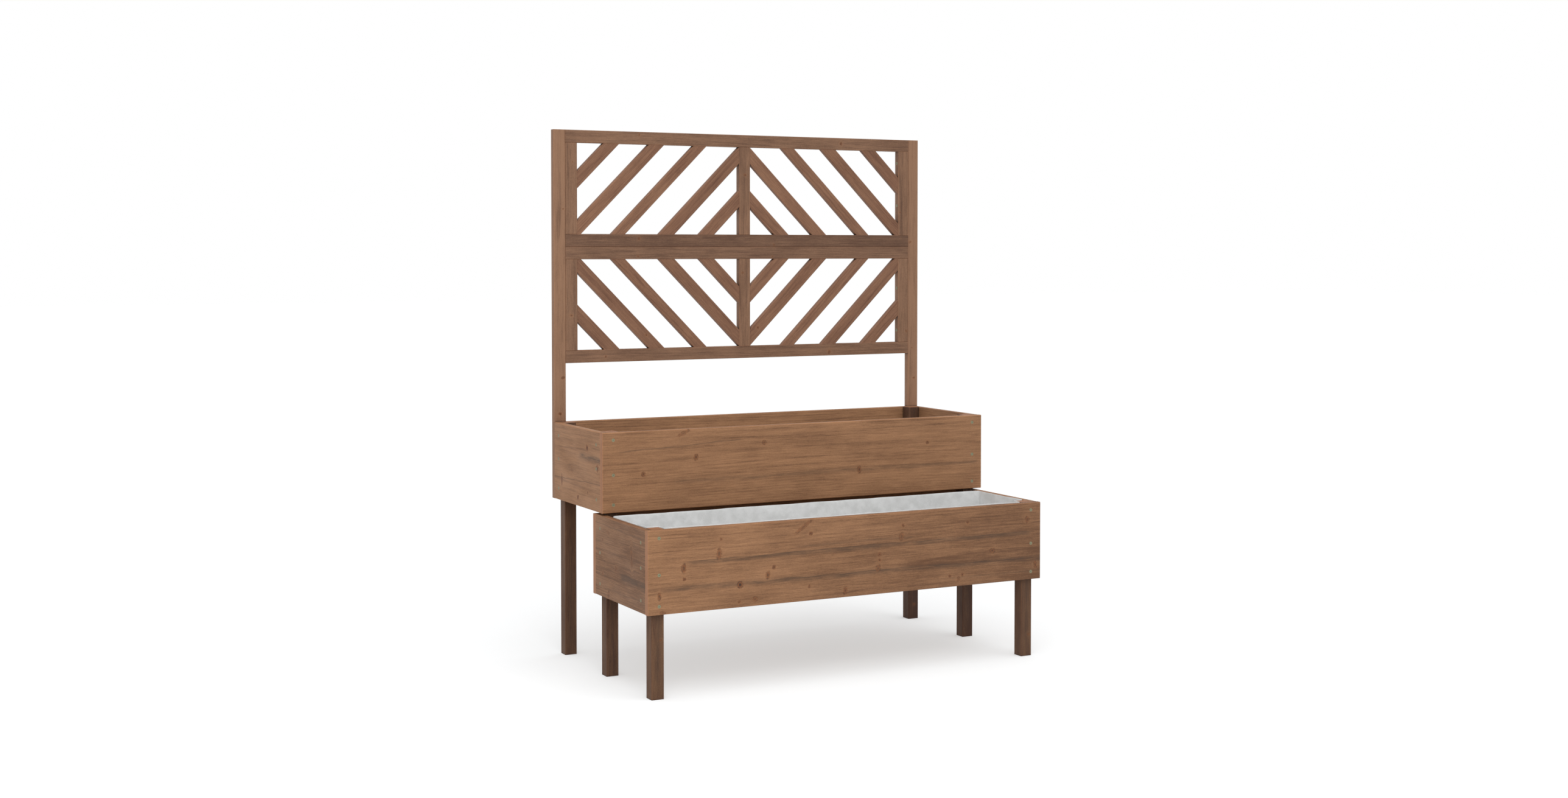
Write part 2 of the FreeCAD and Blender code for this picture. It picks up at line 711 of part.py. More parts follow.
def screwShape(length):
    """An eight-sided flat-headed screw that points along +Z, its head's face in the XY plane."""
    headRadius = screwHead.value / 2
    shankRadius = screwShank.value / 2
    rings = [ring(headRadius, 0), ring(shankRadius, headRadius - shankRadius),
             ring(shankRadius, length.value)]
    return Part.makeLoft(rings, True, True)


for group, entries in screwPlaces.items():
    solids = []
    for length, at, way in entries:
        solid = screwShape(length)
        solid.Placement = Placement(Vector(*(asSize(v).value for v in at)), Rotation(Vector(0, 0, 1), way))
        solids.append(solid)
    screws = doc.addObject("Part::Feature", group)
    screws.Label = group
    screws.Shape = Part.makeCompound(solids)
    nodes.append(screws)


# ---- Check and write

doc.recompute()
for feature in doc.Objects:
    faults = [state for state in feature.State if state in ("Invalid", "Error")]
    if faults:
        raise RuntimeError(f"{feature.Name}: {faults}")
for node in nodes:
    if node.Shape.isNull() or not node.Shape.isValid():
        raise RuntimeError(f"{node.Label} has no valid shape")
for node in nodes:
    node.Shape.exportStep(f"parts/{node.Label}.step")
print(f"{len(nodes)} nodes, {sum(len(node.Shape.Solids) for node in nodes)} solids")
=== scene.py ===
# Planter with trellis: two stepped boxes of brown stained fir on square legs, a lattice behind them and
# felt liners inside. The frame brings every board, leg and slat in its place. This script gives each its
# own piece of timber and builds the screws, the felt bags and the staples.
# Metres in the scene, millimetres in the timber.
import math
import random

import bmesh
import bpy
from mathutils import Matrix, Vector, noise


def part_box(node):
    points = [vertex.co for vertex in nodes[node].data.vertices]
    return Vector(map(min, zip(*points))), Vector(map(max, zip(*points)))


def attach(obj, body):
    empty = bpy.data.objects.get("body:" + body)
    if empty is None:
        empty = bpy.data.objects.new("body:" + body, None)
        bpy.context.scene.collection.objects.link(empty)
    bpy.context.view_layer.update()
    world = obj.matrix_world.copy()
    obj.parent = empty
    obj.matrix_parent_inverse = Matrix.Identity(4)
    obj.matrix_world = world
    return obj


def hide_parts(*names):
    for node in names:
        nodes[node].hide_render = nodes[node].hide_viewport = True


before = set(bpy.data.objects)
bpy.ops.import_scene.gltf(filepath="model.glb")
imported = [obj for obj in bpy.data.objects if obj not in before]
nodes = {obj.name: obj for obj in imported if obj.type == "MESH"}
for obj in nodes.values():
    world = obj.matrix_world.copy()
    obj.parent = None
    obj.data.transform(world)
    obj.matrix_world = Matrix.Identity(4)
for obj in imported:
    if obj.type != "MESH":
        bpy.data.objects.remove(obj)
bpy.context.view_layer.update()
sceneRoot = bpy.context.scene.collection
mm = 0.001
print("frame:", len(nodes), "pieces of the planter")


def linear(hexColour):
    channels = [int(hexColour[i:i + 2], 16) / 255 for i in (1, 3, 5)]
    return (*[c / 12.92 if c <= 0.04045 else ((c + 0.055) / 1.055) ** 2.4 for c in channels], 1)


# Adds a node, sets it up and plugs in what feeds it: a number, a colour, a socket or a node's first
# live output.
def add(tree, kind, feeds, **settings):
    node = tree.nodes.new(kind)
    for name, value in settings.items():
        setattr(node, name, value)
    for socket, source in feeds.items():
        if isinstance(source, bpy.types.Node):
            source = next(output for output in source.outputs if output.enabled)
        if isinstance(source, bpy.types.NodeSocket):
            tree.links.new(source, node.inputs[socket])
        else:
            node.inputs[socket].default_value = source
    return node


def newGroup(name, inputs, outputs):
    tree = bpy.data.node_groups.new(name, "ShaderNodeTree")
    for way, sockets in (("INPUT", inputs), ("OUTPUT", outputs)):
        for label, kind in sockets.items():
            tree.interface.new_socket(label, in_out=way, socket_type="NodeSocket" + kind)
    return tree, tree.nodes.new("NodeGroupInput").outputs


def newMaterial(name):
    material = bpy.data.materials.new(name)
    material.use_nodes = True
    material.node_tree.nodes.clear()
    return material, material.node_tree


# Fir boards, planed, finger-jointed and dipped in a thin brown water stain. The stain leaves the early
# wood pale and warm and sits darker in the late wood and the knots. The arrises are painted lighter, a painted
# highlight, and the joints between pieces painted darker, a painted shade. It dries nearly matt.
timberKinds = {
    "boards": {"pale": "#AC7E59", "late": "#69472F", "grey": "#4A382B", "roughness": 0.62, "ringSpacing": 5.5},
    "legs": {"pale": "#7A583C", "late": "#4A3023", "grey": "#3B2C24", "roughness": 0.68, "ringSpacing": 3.5},
    "trellis_frame": {"pale": "#987257", "late": "#5E4130", "grey": "#523F36", "roughness": 0.62,
                      "ringSpacing": 3.5},
    "lattice": {"pale": "#976E53", "late": "#623F2E", "grey": "#4F3B31", "roughness": 0.62, "ringSpacing": 3.5},
    "floor_wood": {"pale": "#B58F6D", "late": "#8A6549", "grey": "#75604F", "roughness": 0.72,
                   "ringSpacing": 5},
}
# knot, end-grain and seam colours; the seam colour is the painted shade between pieces
knotColours = {"heart": "#8F5833", "heartDark": "#3A2318", "rim": "#432A1E", "glow": "#B27C52",
               "endGrain": "#A97452", "seamShade": "#2A1D16"}
# how often each pattern repeats in a millimetre, along the grain, across it and through the piece
grainScales = {"wander": (0.0013, 0.006, 0.006), "fibre": (0.022, 0.85, 0.85), "streak": (0.0042, 0.11, 0.11),
               "cloud": (0.009, 0.022, 0.022), "speck": (0.35, 0.8, 0.8), "raised": (0.016, 0.62, 0.62)}
# millimetres, but for the painted highlight on the arrises, which is how much lighter an arris is painted in
# red, green and blue; the seam reach is how far the painted shade between pieces spreads
timberDetailsAndPaintedLight = {"ringWander": 26, "seamShadeReach": 5, "fibreHeight": 0.15, "arrisFrom": 0.6, "arrisTo": 2.4,
              "arrisHighlight": (1.35, 1.25, 1.2, 1)}
# the size of a band's own wander, in millimetres, and over what length it begins and ends
bandSizes = {"wander": 7, "fadeIn": 60, "fadeOut": 25}


# One knot seen across the board: a heart, a dark rim and the grain that goes round it.
def makeKnotGroup():
    tree, given = newGroup("knotInFir", {
        "point": "Vector", "place": "Vector", "size": "Vector", "turn": "Float", "depth": "Float",
        "heart": "Float", "core": "Float", "rim": "Float", "glow": "Float", "push": "Float"},
        {"heart": "Float", "core": "Float", "rim": "Float", "glow": "Float", "push": "Float"})
    away = add(tree, "ShaderNodeVectorMath", {0: given["point"], 1: given["place"]}, operation="SUBTRACT")
    flat = add(tree, "ShaderNodeVectorMath", {0: away, 1: (1, 1, 0)}, operation="MULTIPLY")
    turned = add(tree, "ShaderNodeVectorRotate", {"Vector": flat, "Angle": given["turn"]},
                 rotation_type="Z_AXIS")
    scaled = add(tree, "ShaderNodeVectorMath", {0: turned, 1: given["size"]}, operation="DIVIDE")
    radius = add(tree, "ShaderNodeVectorMath", {0: scaled}, operation="LENGTH")
    uneven = add(tree, "ShaderNodeTexNoise", {"Vector": given["point"], "Scale": 0.16, "Detail": 2})
    wobble = add(tree, "ShaderNodeMath", {0: uneven, 1: 0.5, 2: radius.outputs["Value"]},
                 operation="MULTIPLY_ADD")
    distance = add(tree, "ShaderNodeMath", {0: wobble, 1: 0.25}, operation="SUBTRACT")
    heart = add(tree, "ShaderNodeMapRange", {"Value": distance, "From Min": 0.7, "From Max": 1.15, "To Min": 1,
                                             "To Max": 0}, interpolation_type="SMOOTHSTEP")
    heartDeep = add(tree, "ShaderNodeMath", {0: heart, 1: given["depth"]}, operation="MULTIPLY")
    heartAll = add(tree, "ShaderNodeMath", {0: heartDeep, 1: given["heart"]}, operation="MAXIMUM")
    core = add(tree, "ShaderNodeMapRange", {"Value": distance, "From Min": 0.1, "From Max": 0.65, "To Min": 1,
                                            "To Max": 0}, interpolation_type="SMOOTHSTEP")
    coreDeep = add(tree, "ShaderNodeMath", {0: core, 1: given["depth"]}, operation="MULTIPLY")
    coreAll = add(tree, "ShaderNodeMath", {0: coreDeep, 1: given["core"]}, operation="MAXIMUM")
    offRim = add(tree, "ShaderNodeMath", {0: distance, 1: 1.0}, operation="SUBTRACT")
    offRimSize = add(tree, "ShaderNodeMath", {0: offRim}, operation="ABSOLUTE")
    rim = add(tree, "ShaderNodeMapRange", {"Value": offRimSize, "From Min": 0, "From Max": 0.5, "To Min": 1,
                                           "To Max": 0}, interpolation_type="SMOOTHSTEP")
    # the rim is dark on one side only, where the bark was caught
    caught = add(tree, "ShaderNodeMapRange", {"Value": uneven, "From Min": 0.42, "From Max": 0.6})
    rimBroken = add(tree, "ShaderNodeMath", {0: rim, 1: caught}, operation="MULTIPLY")
    rimDeep = add(tree, "ShaderNodeMath", {0: rimBroken, 1: given["depth"]}, operation="MULTIPLY")
    rimAll = add(tree, "ShaderNodeMath", {0: rimDeep, 1: given["rim"]}, operation="MAXIMUM")
    # the grain bows round the knot by up to its own half height, and less with distance
    awayParts = add(tree, "ShaderNodeSeparateXYZ", {0: away})
    sizeParts = add(tree, "ShaderNodeSeparateXYZ", {0: given["size"]})
    side = add(tree, "ShaderNodeMath", {0: awayParts.outputs[1], 1: sizeParts.outputs[1]}, operation="DIVIDE")
    sideCapped = add(tree, "ShaderNodeClamp", {"Value": side, "Min": -1, "Max": 1})
    square = add(tree, "ShaderNodeMath", {0: radius.outputs["Value"], 1: radius.outputs["Value"]},
                 operation="MULTIPLY")
    nearer = add(tree, "ShaderNodeMath", {0: square, 1: -0.3}, operation="MULTIPLY")
    fade = add(tree, "ShaderNodeMath", {0: nearer}, operation="EXPONENT")
    bow = add(tree, "ShaderNodeMath", {0: sideCapped, 1: fade}, operation="MULTIPLY")
    bowSized = add(tree, "ShaderNodeMath", {0: bow, 1: sizeParts.outputs[1]}, operation="MULTIPLY")
    pushAll = add(tree, "ShaderNodeMath", {0: bowSized, 1: 0.45, 2: given["push"]}, operation="MULTIPLY_ADD")
    glowDeep = add(tree, "ShaderNodeMath", {0: fade, 1: given["depth"]}, operation="MULTIPLY")
    glowAll = add(tree, "ShaderNodeMath", {0: glowDeep, 1: given["glow"]}, operation="MAXIMUM")
    add(tree, "NodeGroupOutput", {"heart": heartAll, "core": coreAll, "rim": rimAll, "glow": glowAll,
                                  "push": pushAll})
    return tree


# A grey-brown band of stained fibres along the board, from one place to another, broken and frayed.
def makeBandGroup():
    tree, given = newGroup("greyBand", {
        "point": "Vector", "height": "Float", "slope": "Float", "halfWidth": "Float", "start": "Float",
        "end": "Float", "depth": "Float", "band": "Float"}, {"band": "Float"})
    parts = add(tree, "ShaderNodeSeparateXYZ", {0: given["point"]})
    along = parts.outputs[0]
    squeezed = add(tree, "ShaderNodeVectorMath", {0: given["point"], 1: (0.012, 0.03, 0.03)},
                   operation="MULTIPLY")
    wander = add(tree, "ShaderNodeTexNoise", {"Vector": squeezed, "Scale": 1, "Detail": 1})
    line = add(tree, "ShaderNodeMath", {0: along, 1: given["slope"], 2: given["height"]},
               operation="MULTIPLY_ADD")
    lineWander = add(tree, "ShaderNodeMath", {0: wander, 1: bandSizes["wander"], 2: line},
                     operation="MULTIPLY_ADD")
    above = add(tree, "ShaderNodeMath", {0: parts.outputs[1], 1: lineWander}, operation="SUBTRACT")
    aboveCentred = add(tree, "ShaderNodeMath", {0: above, 1: bandSizes["wander"] / 2}, operation="ADD")
    off = add(tree, "ShaderNodeMath", {0: aboveCentred}, operation="ABSOLUTE")
    across = add(tree, "ShaderNodeMapRange", {"Value": off, "From Min": 0, "From Max": given["halfWidth"],
                                              "To Min": 1, "To Max": 0}, interpolation_type="SMOOTHSTEP")
    startsLater = add(tree, "ShaderNodeMath", {0: given["start"], 1: bandSizes["fadeIn"]}, operation="ADD")
    fadeIn = add(tree, "ShaderNodeMapRange", {"Value": along, "From Min": given["start"],
                                              "From Max": startsLater}, interpolation_type="SMOOTHSTEP")
    endsLater = add(tree, "ShaderNodeMath", {0: given["end"], 1: bandSizes["fadeOut"]}, operation="ADD")
    fadeOut = add(tree, "ShaderNodeMapRange", {"Value": along, "From Min": given["end"], "From Max": endsLater,
                                               "To Min": 1, "To Max": 0}, interpolation_type="SMOOTHSTEP")
    length = add(tree, "ShaderNodeMath", {0: fadeIn, 1: fadeOut}, operation="MULTIPLY")
    patch = add(tree, "ShaderNodeVectorMath", {0: given["point"], 1: (0.02, 0.1, 0.1)}, operation="MULTIPLY")
    broken = add(tree, "ShaderNodeTexNoise", {"Vector": patch, "Scale": 1, "Detail": 3, "Roughness": 0.65})
    brokenMask = add(tree, "ShaderNodeMapRange", {"Value": broken, "From Min": 0.2, "From Max": 0.55})
    whole = add(tree, "ShaderNodeMath", {0: across, 1: length}, operation="MULTIPLY")
    frayed = add(tree, "ShaderNodeMath", {0: whole, 1: brokenMask}, operation="MULTIPLY")
    deep = add(tree, "ShaderNodeMath", {0: frayed, 1: given["depth"]}, operation="MULTIPLY")
    most = add(tree, "ShaderNodeMath", {0: deep, 1: given["band"]}, operation="MAXIMUM")
    add(tree, "NodeGroupOutput", {"band": most})
    return tree


# The timber itself, in millimetres along, across and through the piece. Rings run round a pith line that lies
# behind the face, so a face shows long arches, an edge straight lines and an end arcs.
def makeFirGroup():
    tree, given = newGroup("stainedFir", {
        "point": "Vector", "seed": "Float", "pith": "Vector", "ringSpacing": "Float", "pale": "Color",
        "late": "Color", "grey": "Color", "roughness": "Float", "heart": "Float", "core": "Float",
        "rim": "Float", "glow": "Float", "push": "Float", "band": "Float", "endGrain": "Float",
        "arris": "Float", "toneAndShade": "Float", "toneAndShadeSlope": "Vector"},
        {"colour": "Color", "height": "Float", "roughness": "Float"})
    bowed = add(tree, "ShaderNodeCombineXYZ", {1: given["push"]})
    eased = add(tree, "ShaderNodeVectorMath", {0: given["point"], 1: bowed}, operation="SUBTRACT")
    shift = add(tree, "ShaderNodeVectorMath", {0: (211, 83, 47), "Scale": given["seed"]}, operation="SCALE")
    own = add(tree, "ShaderNodeVectorMath", {0: eased, 1: shift}, operation="ADD")
    # the tree's own wander, as long as a board
    slow = add(tree, "ShaderNodeVectorMath", {0: own, 1: grainScales["wander"]}, operation="MULTIPLY")
    wander = add(tree, "ShaderNodeTexNoise", {"Vector": slow, "Scale": 1, "Detail": 1, "Roughness": 0.4})
    offPith = add(tree, "ShaderNodeVectorMath", {0: eased, 1: given["pith"]}, operation="SUBTRACT")
    inPlane = add(tree, "ShaderNodeVectorMath", {0: offPith, 1: (0, 1, 1)}, operation="MULTIPLY")
    ringRadius = add(tree, "ShaderNodeVectorMath", {0: inPlane}, operation="LENGTH")
    ringMoved = add(tree, "ShaderNodeMath", {0: wander, 1: timberDetailsAndPaintedLight["ringWander"],
                                              2: ringRadius.outputs["Value"]}, operation="MULTIPLY_ADD")
    ringCount = add(tree, "ShaderNodeMath", {0: ringMoved, 1: given["ringSpacing"]}, operation="DIVIDE")
    ringPart = add(tree, "ShaderNodeMath", {0: ringCount}, operation="FRACT")
    lateRise = add(tree, "ShaderNodeMapRange", {"Value": ringPart, "From Min": 0.45, "From Max": 0.92},
                   interpolation_type="SMOOTHSTEP")
    lateFall = add(tree, "ShaderNodeMapRange", {"Value": ringPart, "From Min": 0.94, "From Max": 1, "To Min": 1,
                                                "To Max": 0})
    lateWood = add(tree, "ShaderNodeMath", {0: lateRise, 1: lateFall}, operation="MULTIPLY")
    ringIndex = add(tree, "ShaderNodeMath", {0: ringCount}, operation="FLOOR")
    ringOwn = add(tree, "ShaderNodeTexWhiteNoise", {"W": ringIndex}, noise_dimensions="1D")
    ringTone = add(tree, "ShaderNodeMapRange", {"Value": ringOwn, "To Min": 0.25, "To Max": 1})
    lateToned = add(tree, "ShaderNodeMath", {0: lateWood, 1: ringTone}, operation="MULTIPLY")
    # fibre lines are 0.05 mm wide in fir: drawn 1.2 mm wide, the finest that still shows from this distance
    fine = add(tree, "ShaderNodeVectorMath", {0: own, 1: grainScales["fibre"]}, operation="MULTIPLY")
    fibre = add(tree, "ShaderNodeTexNoise", {"Vector": fine, "Scale": 1, "Detail": 3, "Roughness": 0.75})
    # stain taken up in streaks a finger wide, in clouds 45 mm wide and in 1 mm specks
    streaky = add(tree, "ShaderNodeVectorMath", {0: own, 1: grainScales["streak"]}, operation="MULTIPLY")
    streak = add(tree, "ShaderNodeTexNoise", {"Vector": streaky, "Scale": 1, "Detail": 3, "Roughness": 0.55})
    cloudy = add(tree, "ShaderNodeVectorMath", {0: own, 1: grainScales["cloud"]}, operation="MULTIPLY")
    cloud = add(tree, "ShaderNodeTexNoise", {"Vector": cloudy, "Scale": 1, "Detail": 3, "Roughness": 0.55})
    speckled = add(tree, "ShaderNodeVectorMath", {0: own, 1: grainScales["speck"]}, operation="MULTIPLY")
    speck = add(tree, "ShaderNodeTexNoise", {"Vector": speckled, "Scale": 1, "Detail": 2, "Roughness": 0.7})
    fading = add(tree, "ShaderNodeMapRange", {"Value": streak, "From Min": 0.35, "From Max": 0.62,
                                              "To Min": 0.12, "To Max": 0.34})
    lateShare = add(tree, "ShaderNodeMath", {0: lateToned, 1: fading}, operation="MULTIPLY")
    fibreShare = add(tree, "ShaderNodeMapRange", {"Value": fibre, "From Min": 0.34, "From Max": 0.66,
                                                  "To Min": -0.16, "To Max": 0.4})
    speckShare = add(tree, "ShaderNodeMapRange", {"Value": speck, "From Min": 0.3, "From Max": 0.7,
                                                  "To Min": -0.16, "To Max": 0.18})
    streakShare = add(tree, "ShaderNodeMapRange", {"Value": streak, "From Min": 0.36, "From Max": 0.7,
                                                   "To Min": 0.02, "To Max": 0.18})
    cloudShare = add(tree, "ShaderNodeMapRange", {"Value": cloud, "From Min": 0.32, "From Max": 0.68,
                                                  "To Min": 0.05, "To Max": 0.32})
    sumOne = add(tree, "ShaderNodeMath", {0: lateShare, 1: fibreShare}, operation="ADD")
    sumTwo = add(tree, "ShaderNodeMath", {0: sumOne, 1: streakShare}, operation="ADD")
    sumThree = add(tree, "ShaderNodeMath", {0: sumTwo, 1: cloudShare}, operation="ADD")
    sumFour = add(tree, "ShaderNodeMath", {0: sumThree, 1: speckShare}, operation="ADD")
    # the piece's tone and its slope across the piece: random tone, and on some pieces painted shade
    drift = add(tree, "ShaderNodeVectorMath", {0: given["point"], 1: given["toneAndShadeSlope"]},
                operation="DOT_PRODUCT")
    toneHere = add(tree, "ShaderNodeMath", {0: drift.outputs["Value"], 1: given["toneAndShade"]}, operation="ADD")
    stain = add(tree, "ShaderNodeMath", {0: sumFour, 1: toneHere}, operation="ADD", use_clamp=True)
    plain = add(tree, "ShaderNodeMix", {"Factor": stain, 6: given["pale"], 7: given["late"]}, data_type="RGBA")
    # resin near a knot warms the stain
    warmth = add(tree, "ShaderNodeMapRange", {"Value": given["glow"], "To Max": 0.28})
    body = add(tree, "ShaderNodeMix", {"Factor": warmth, 6: plain, 7: linear(knotColours["glow"])},
               data_type="RGBA")
    # grey bands show their fibres
    fibreMask = add(tree, "ShaderNodeMapRange", {"Value": fibre, "From Min": 0.3, "From Max": 0.6,
                                                 "To Min": 0.45, "To Max": 1})
    bandMask = add(tree, "ShaderNodeMath", {0: given["band"], 1: fibreMask}, operation="MULTIPLY")
    banded = add(tree, "ShaderNodeMix", {"Factor": bandMask, 6: body, 7: given["grey"]}, data_type="RGBA")
    rimmed = add(tree, "ShaderNodeMix", {"Factor": given["rim"], 6: banded, 7: linear(knotColours["rim"])},
                 data_type="RGBA")
    heartAge = add(tree, "ShaderNodeMath", {0: speck, 1: 0.7, 2: given["core"]}, operation="MULTIPLY_ADD")
    heartMix = add(tree, "ShaderNodeMapRange", {"Value": heartAge, "From Min": 0.1, "From Max": 1})
    heartColour = add(tree, "ShaderNodeMix", {"Factor": heartMix, 6: linear(knotColours["heart"]),
                                              7: linear(knotColours["heartDark"])}, data_type="RGBA")
    heartShare = add(tree, "ShaderNodeMath", {0: given["heart"], 1: 0.95}, operation="MULTIPLY")
    knotty = add(tree, "ShaderNodeMix", {"Factor": heartShare, 6: rimmed, 7: heartColour}, data_type="RGBA")
    cut = add(tree, "ShaderNodeMath", {0: given["endGrain"], 1: 0.7}, operation="MULTIPLY")
    ended = add(tree, "ShaderNodeMix", {"Factor": cut, 6: knotty, 7: linear(knotColours["endGrain"])},
                data_type="RGBA")
    # painted highlight: the arrises are made lighter
    withArrisHighlight = add(tree, "ShaderNodeMix", {"Factor": given["arris"], 6: ended, 7: timberDetailsAndPaintedLight["arrisHighlight"]},
               data_type="RGBA", blend_type="MULTIPLY", clamp_result=False)

    # painted shade: dark brown is laid in by an occlusion test where two pieces meet and round the screw heads
    seamShade = add(tree, "ShaderNodeAmbientOcclusion", {"Distance": timberDetailsAndPaintedLight["seamShadeReach"] * mm}, samples=6)
    paintedSeamShade = add(tree, "ShaderNodeMapRange", {"Value": seamShade.outputs["AO"], "From Min": 0.3, "From Max": 0.9,
                                                "To Min": 0.9, "To Max": 0})
    withSeamShade = add(tree, "ShaderNodeMix", {"Factor": paintedSeamShade, 6: withArrisHighlight, 7: linear(knotColours["seamShade"])},
                 data_type="RGBA")

    # planed surface: the fibres stand 0.15 mm proud in lines that run straight past the knots
    straight = add(tree, "ShaderNodeVectorMath", {0: given["point"], 1: grainScales["raised"]},
                   operation="MULTIPLY")
    height = add(tree, "ShaderNodeTexNoise", {"Vector": straight, "Scale": 1, "Detail": 3, "Roughness": 0.6})
    patchy = add(tree, "ShaderNodeMath", {0: cloud, 1: 0.5}, operation="SUBTRACT")
    rough = add(tree, "ShaderNodeMath", {0: patchy, 1: 0.3, 2: given["roughness"]}, operation="MULTIPLY_ADD")
    add(tree, "NodeGroupOutput", {"colour": withSeamShade, "height": height, "roughness": rough})
    return tree


knotGroup = makeKnotGroup()
bandGroup = makeBandGroup()
firGroup = makeFirGroup()


# The lowest and highest place of a node's corners along a direction, in metres.
def reach(node, way):
    places = [v.co.dot(way) for v in node.data.vertices]
    return min(places), max(places)


# Gives one CAD piece its own timber. Knots are (from the low end, from the low edge, half length along,
# half height across, turn in degrees, depth of colour); bands are (height at the low end, height at the
# high end, half width, from, to, depth). All are in millimetres on the piece's face.
def timber(name, kind, along, across, knots=(), bands=(), toneAndShade=0.0, toneAndShadeSlope=(0, 0, 0), wildKnots=0):
    node = nodes[name]
    look = timberKinds[kind]
    luck = random.Random(name)
    through = along.cross(across)
    spans = [reach(node, way) for way in (along, across, through)]
    middle = sum(((low + high) / 2 * way for (low, high), way in zip(spans, (along, across, through))),
                 Vector())
    half = [(high - low) / 2 / mm for low, high in spans]

    material, tree = newMaterial("stainedFir_" + name)
    place = add(tree, "ShaderNodeTexCoord", {})
    offset = add(tree, "ShaderNodeVectorMath", {0: place.outputs["Object"], 1: middle}, operation="SUBTRACT")
    parts = [add(tree, "ShaderNodeVectorMath", {0: offset, 1: way / mm},
                 operation="DOT_PRODUCT").outputs["Value"] for way in (along, across, through)]
    point = add(tree, "ShaderNodeCombineXYZ", {0: parts[0], 1: parts[1], 2: parts[2]})

    heart = core = rim = glow = push = band = 0.0
    pins = list(knots)
    for _ in range(wildKnots):
        size = luck.uniform(0.1, 0.24) * min(half[1], 40)
        pins.append((luck.uniform(0.04, 0.96) * 2 * half[0], luck.uniform(0.15, 0.85) * 2 * half[1],
                     size, size * luck.uniform(0.8, 1.6), luck.uniform(-20, 20), luck.uniform(0.5, 0.95)))
    for x, y, halfLong, halfTall, turn, depth in pins:
        knot = add(tree, "ShaderNodeGroup", {
            "point": point, "place": (x - half[0], y - half[1], 0), "size": (halfLong, halfTall, 1),
            "turn": math.radians(turn), "depth": depth, "heart": heart, "core": core, "rim": rim,
            "glow": glow, "push": push}, node_tree=knotGroup)
        heart, core, rim, glow, push = [knot.outputs[label]
                                        for label in ("heart", "core", "rim", "glow", "push")]
    for lowHeight, highHeight, halfWidth, start, end, depth in bands:
        band = add(tree, "ShaderNodeGroup", {
            "point": point, "height": (lowHeight + highHeight) / 2 - half[1],
            "slope": (highHeight - lowHeight) / (2 * half[0]), "halfWidth": halfWidth,
            "start": start - half[0], "end": end - half[0], "depth": depth, "band": band},
            node_tree=bandGroup).outputs["band"]

    # arrises: near two faces at once; these get the painted highlight
    toFace = []
    for part, size in zip(parts, half):
        away = add(tree, "ShaderNodeMath", {0: part}, operation="ABSOLUTE")
        toFace.append(add(tree, "ShaderNodeMath", {0: size, 1: away}, operation="SUBTRACT"))
    longArris = add(tree, "ShaderNodeMath", {0: toFace[1], 1: toFace[2]}, operation="MAXIMUM")
    endArris = add(tree, "ShaderNodeMath", {0: toFace[0], 1: toFace[2]}, operation="MAXIMUM")
    nearest = add(tree, "ShaderNodeMath", {0: longArris, 1: endArris}, operation="MINIMUM")
    arris = add(tree, "ShaderNodeMapRange", {
        "Value": nearest, "From Min": timberDetailsAndPaintedLight["arrisFrom"], "From Max": timberDetailsAndPaintedLight["arrisTo"],
        "To Min": 0.55, "To Max": 0}, interpolation_type="SMOOTHSTEP")
    surface = add(tree, "ShaderNodeNewGeometry", {})
    facing = add(tree, "ShaderNodeVectorMath", {0: surface.outputs["True Normal"], 1: along},
                 operation="DOT_PRODUCT")
    facingSize = add(tree, "ShaderNodeMath", {0: facing.outputs["Value"]}, operation="ABSOLUTE")
    endGrain = add(tree, "ShaderNodeMapRange", {"Value": facingSize, "From Min": 0.5, "From Max": 0.68})

    pithDeep = luck.uniform(0.4, 1.2) * max(half[1], 25) + half[2]
    fir = add(tree, "ShaderNodeGroup", {
        "point": point, "seed": luck.uniform(0, 40), "ringSpacing": look["ringSpacing"],
        "pith": (0, luck.uniform(-0.7, 0.7) * half[1], pithDeep), "pale": linear(look["pale"]),
        "late": linear(look["late"]), "grey": linear(look["grey"]), "roughness": look["roughness"],
        "heart": heart, "core": core, "rim": rim, "glow": glow, "push": push, "band": band,
        "endGrain": endGrain, "arris": arris,
        "toneAndShade": toneAndShade + luck.uniform(-0.07, 0.07), "toneAndShadeSlope": toneAndShadeSlope}, node_tree=firGroup)
    bump = add(tree, "ShaderNodeBump", {"Height": fir.outputs["height"], "Strength": 0.5,
                                        "Distance": timberDetailsAndPaintedLight["fibreHeight"] * mm})
    stain = add(tree, "ShaderNodeBsdfPrincipled", {
        "Base Color": fir.outputs["colour"], "Roughness": fir.outputs["roughness"], "IOR": 1.5,
        "Specular IOR Level": 0.35, "Normal": bump})
    add(tree, "ShaderNodeOutputMaterial", {"Surface": stain})
    node.data.materials.clear()
    node.data.materials.append(material)


alongX, alongY, alongZ = Vector((1, 0, 0)), Vector((0, 1, 0)), Vector((0, 0, 1))

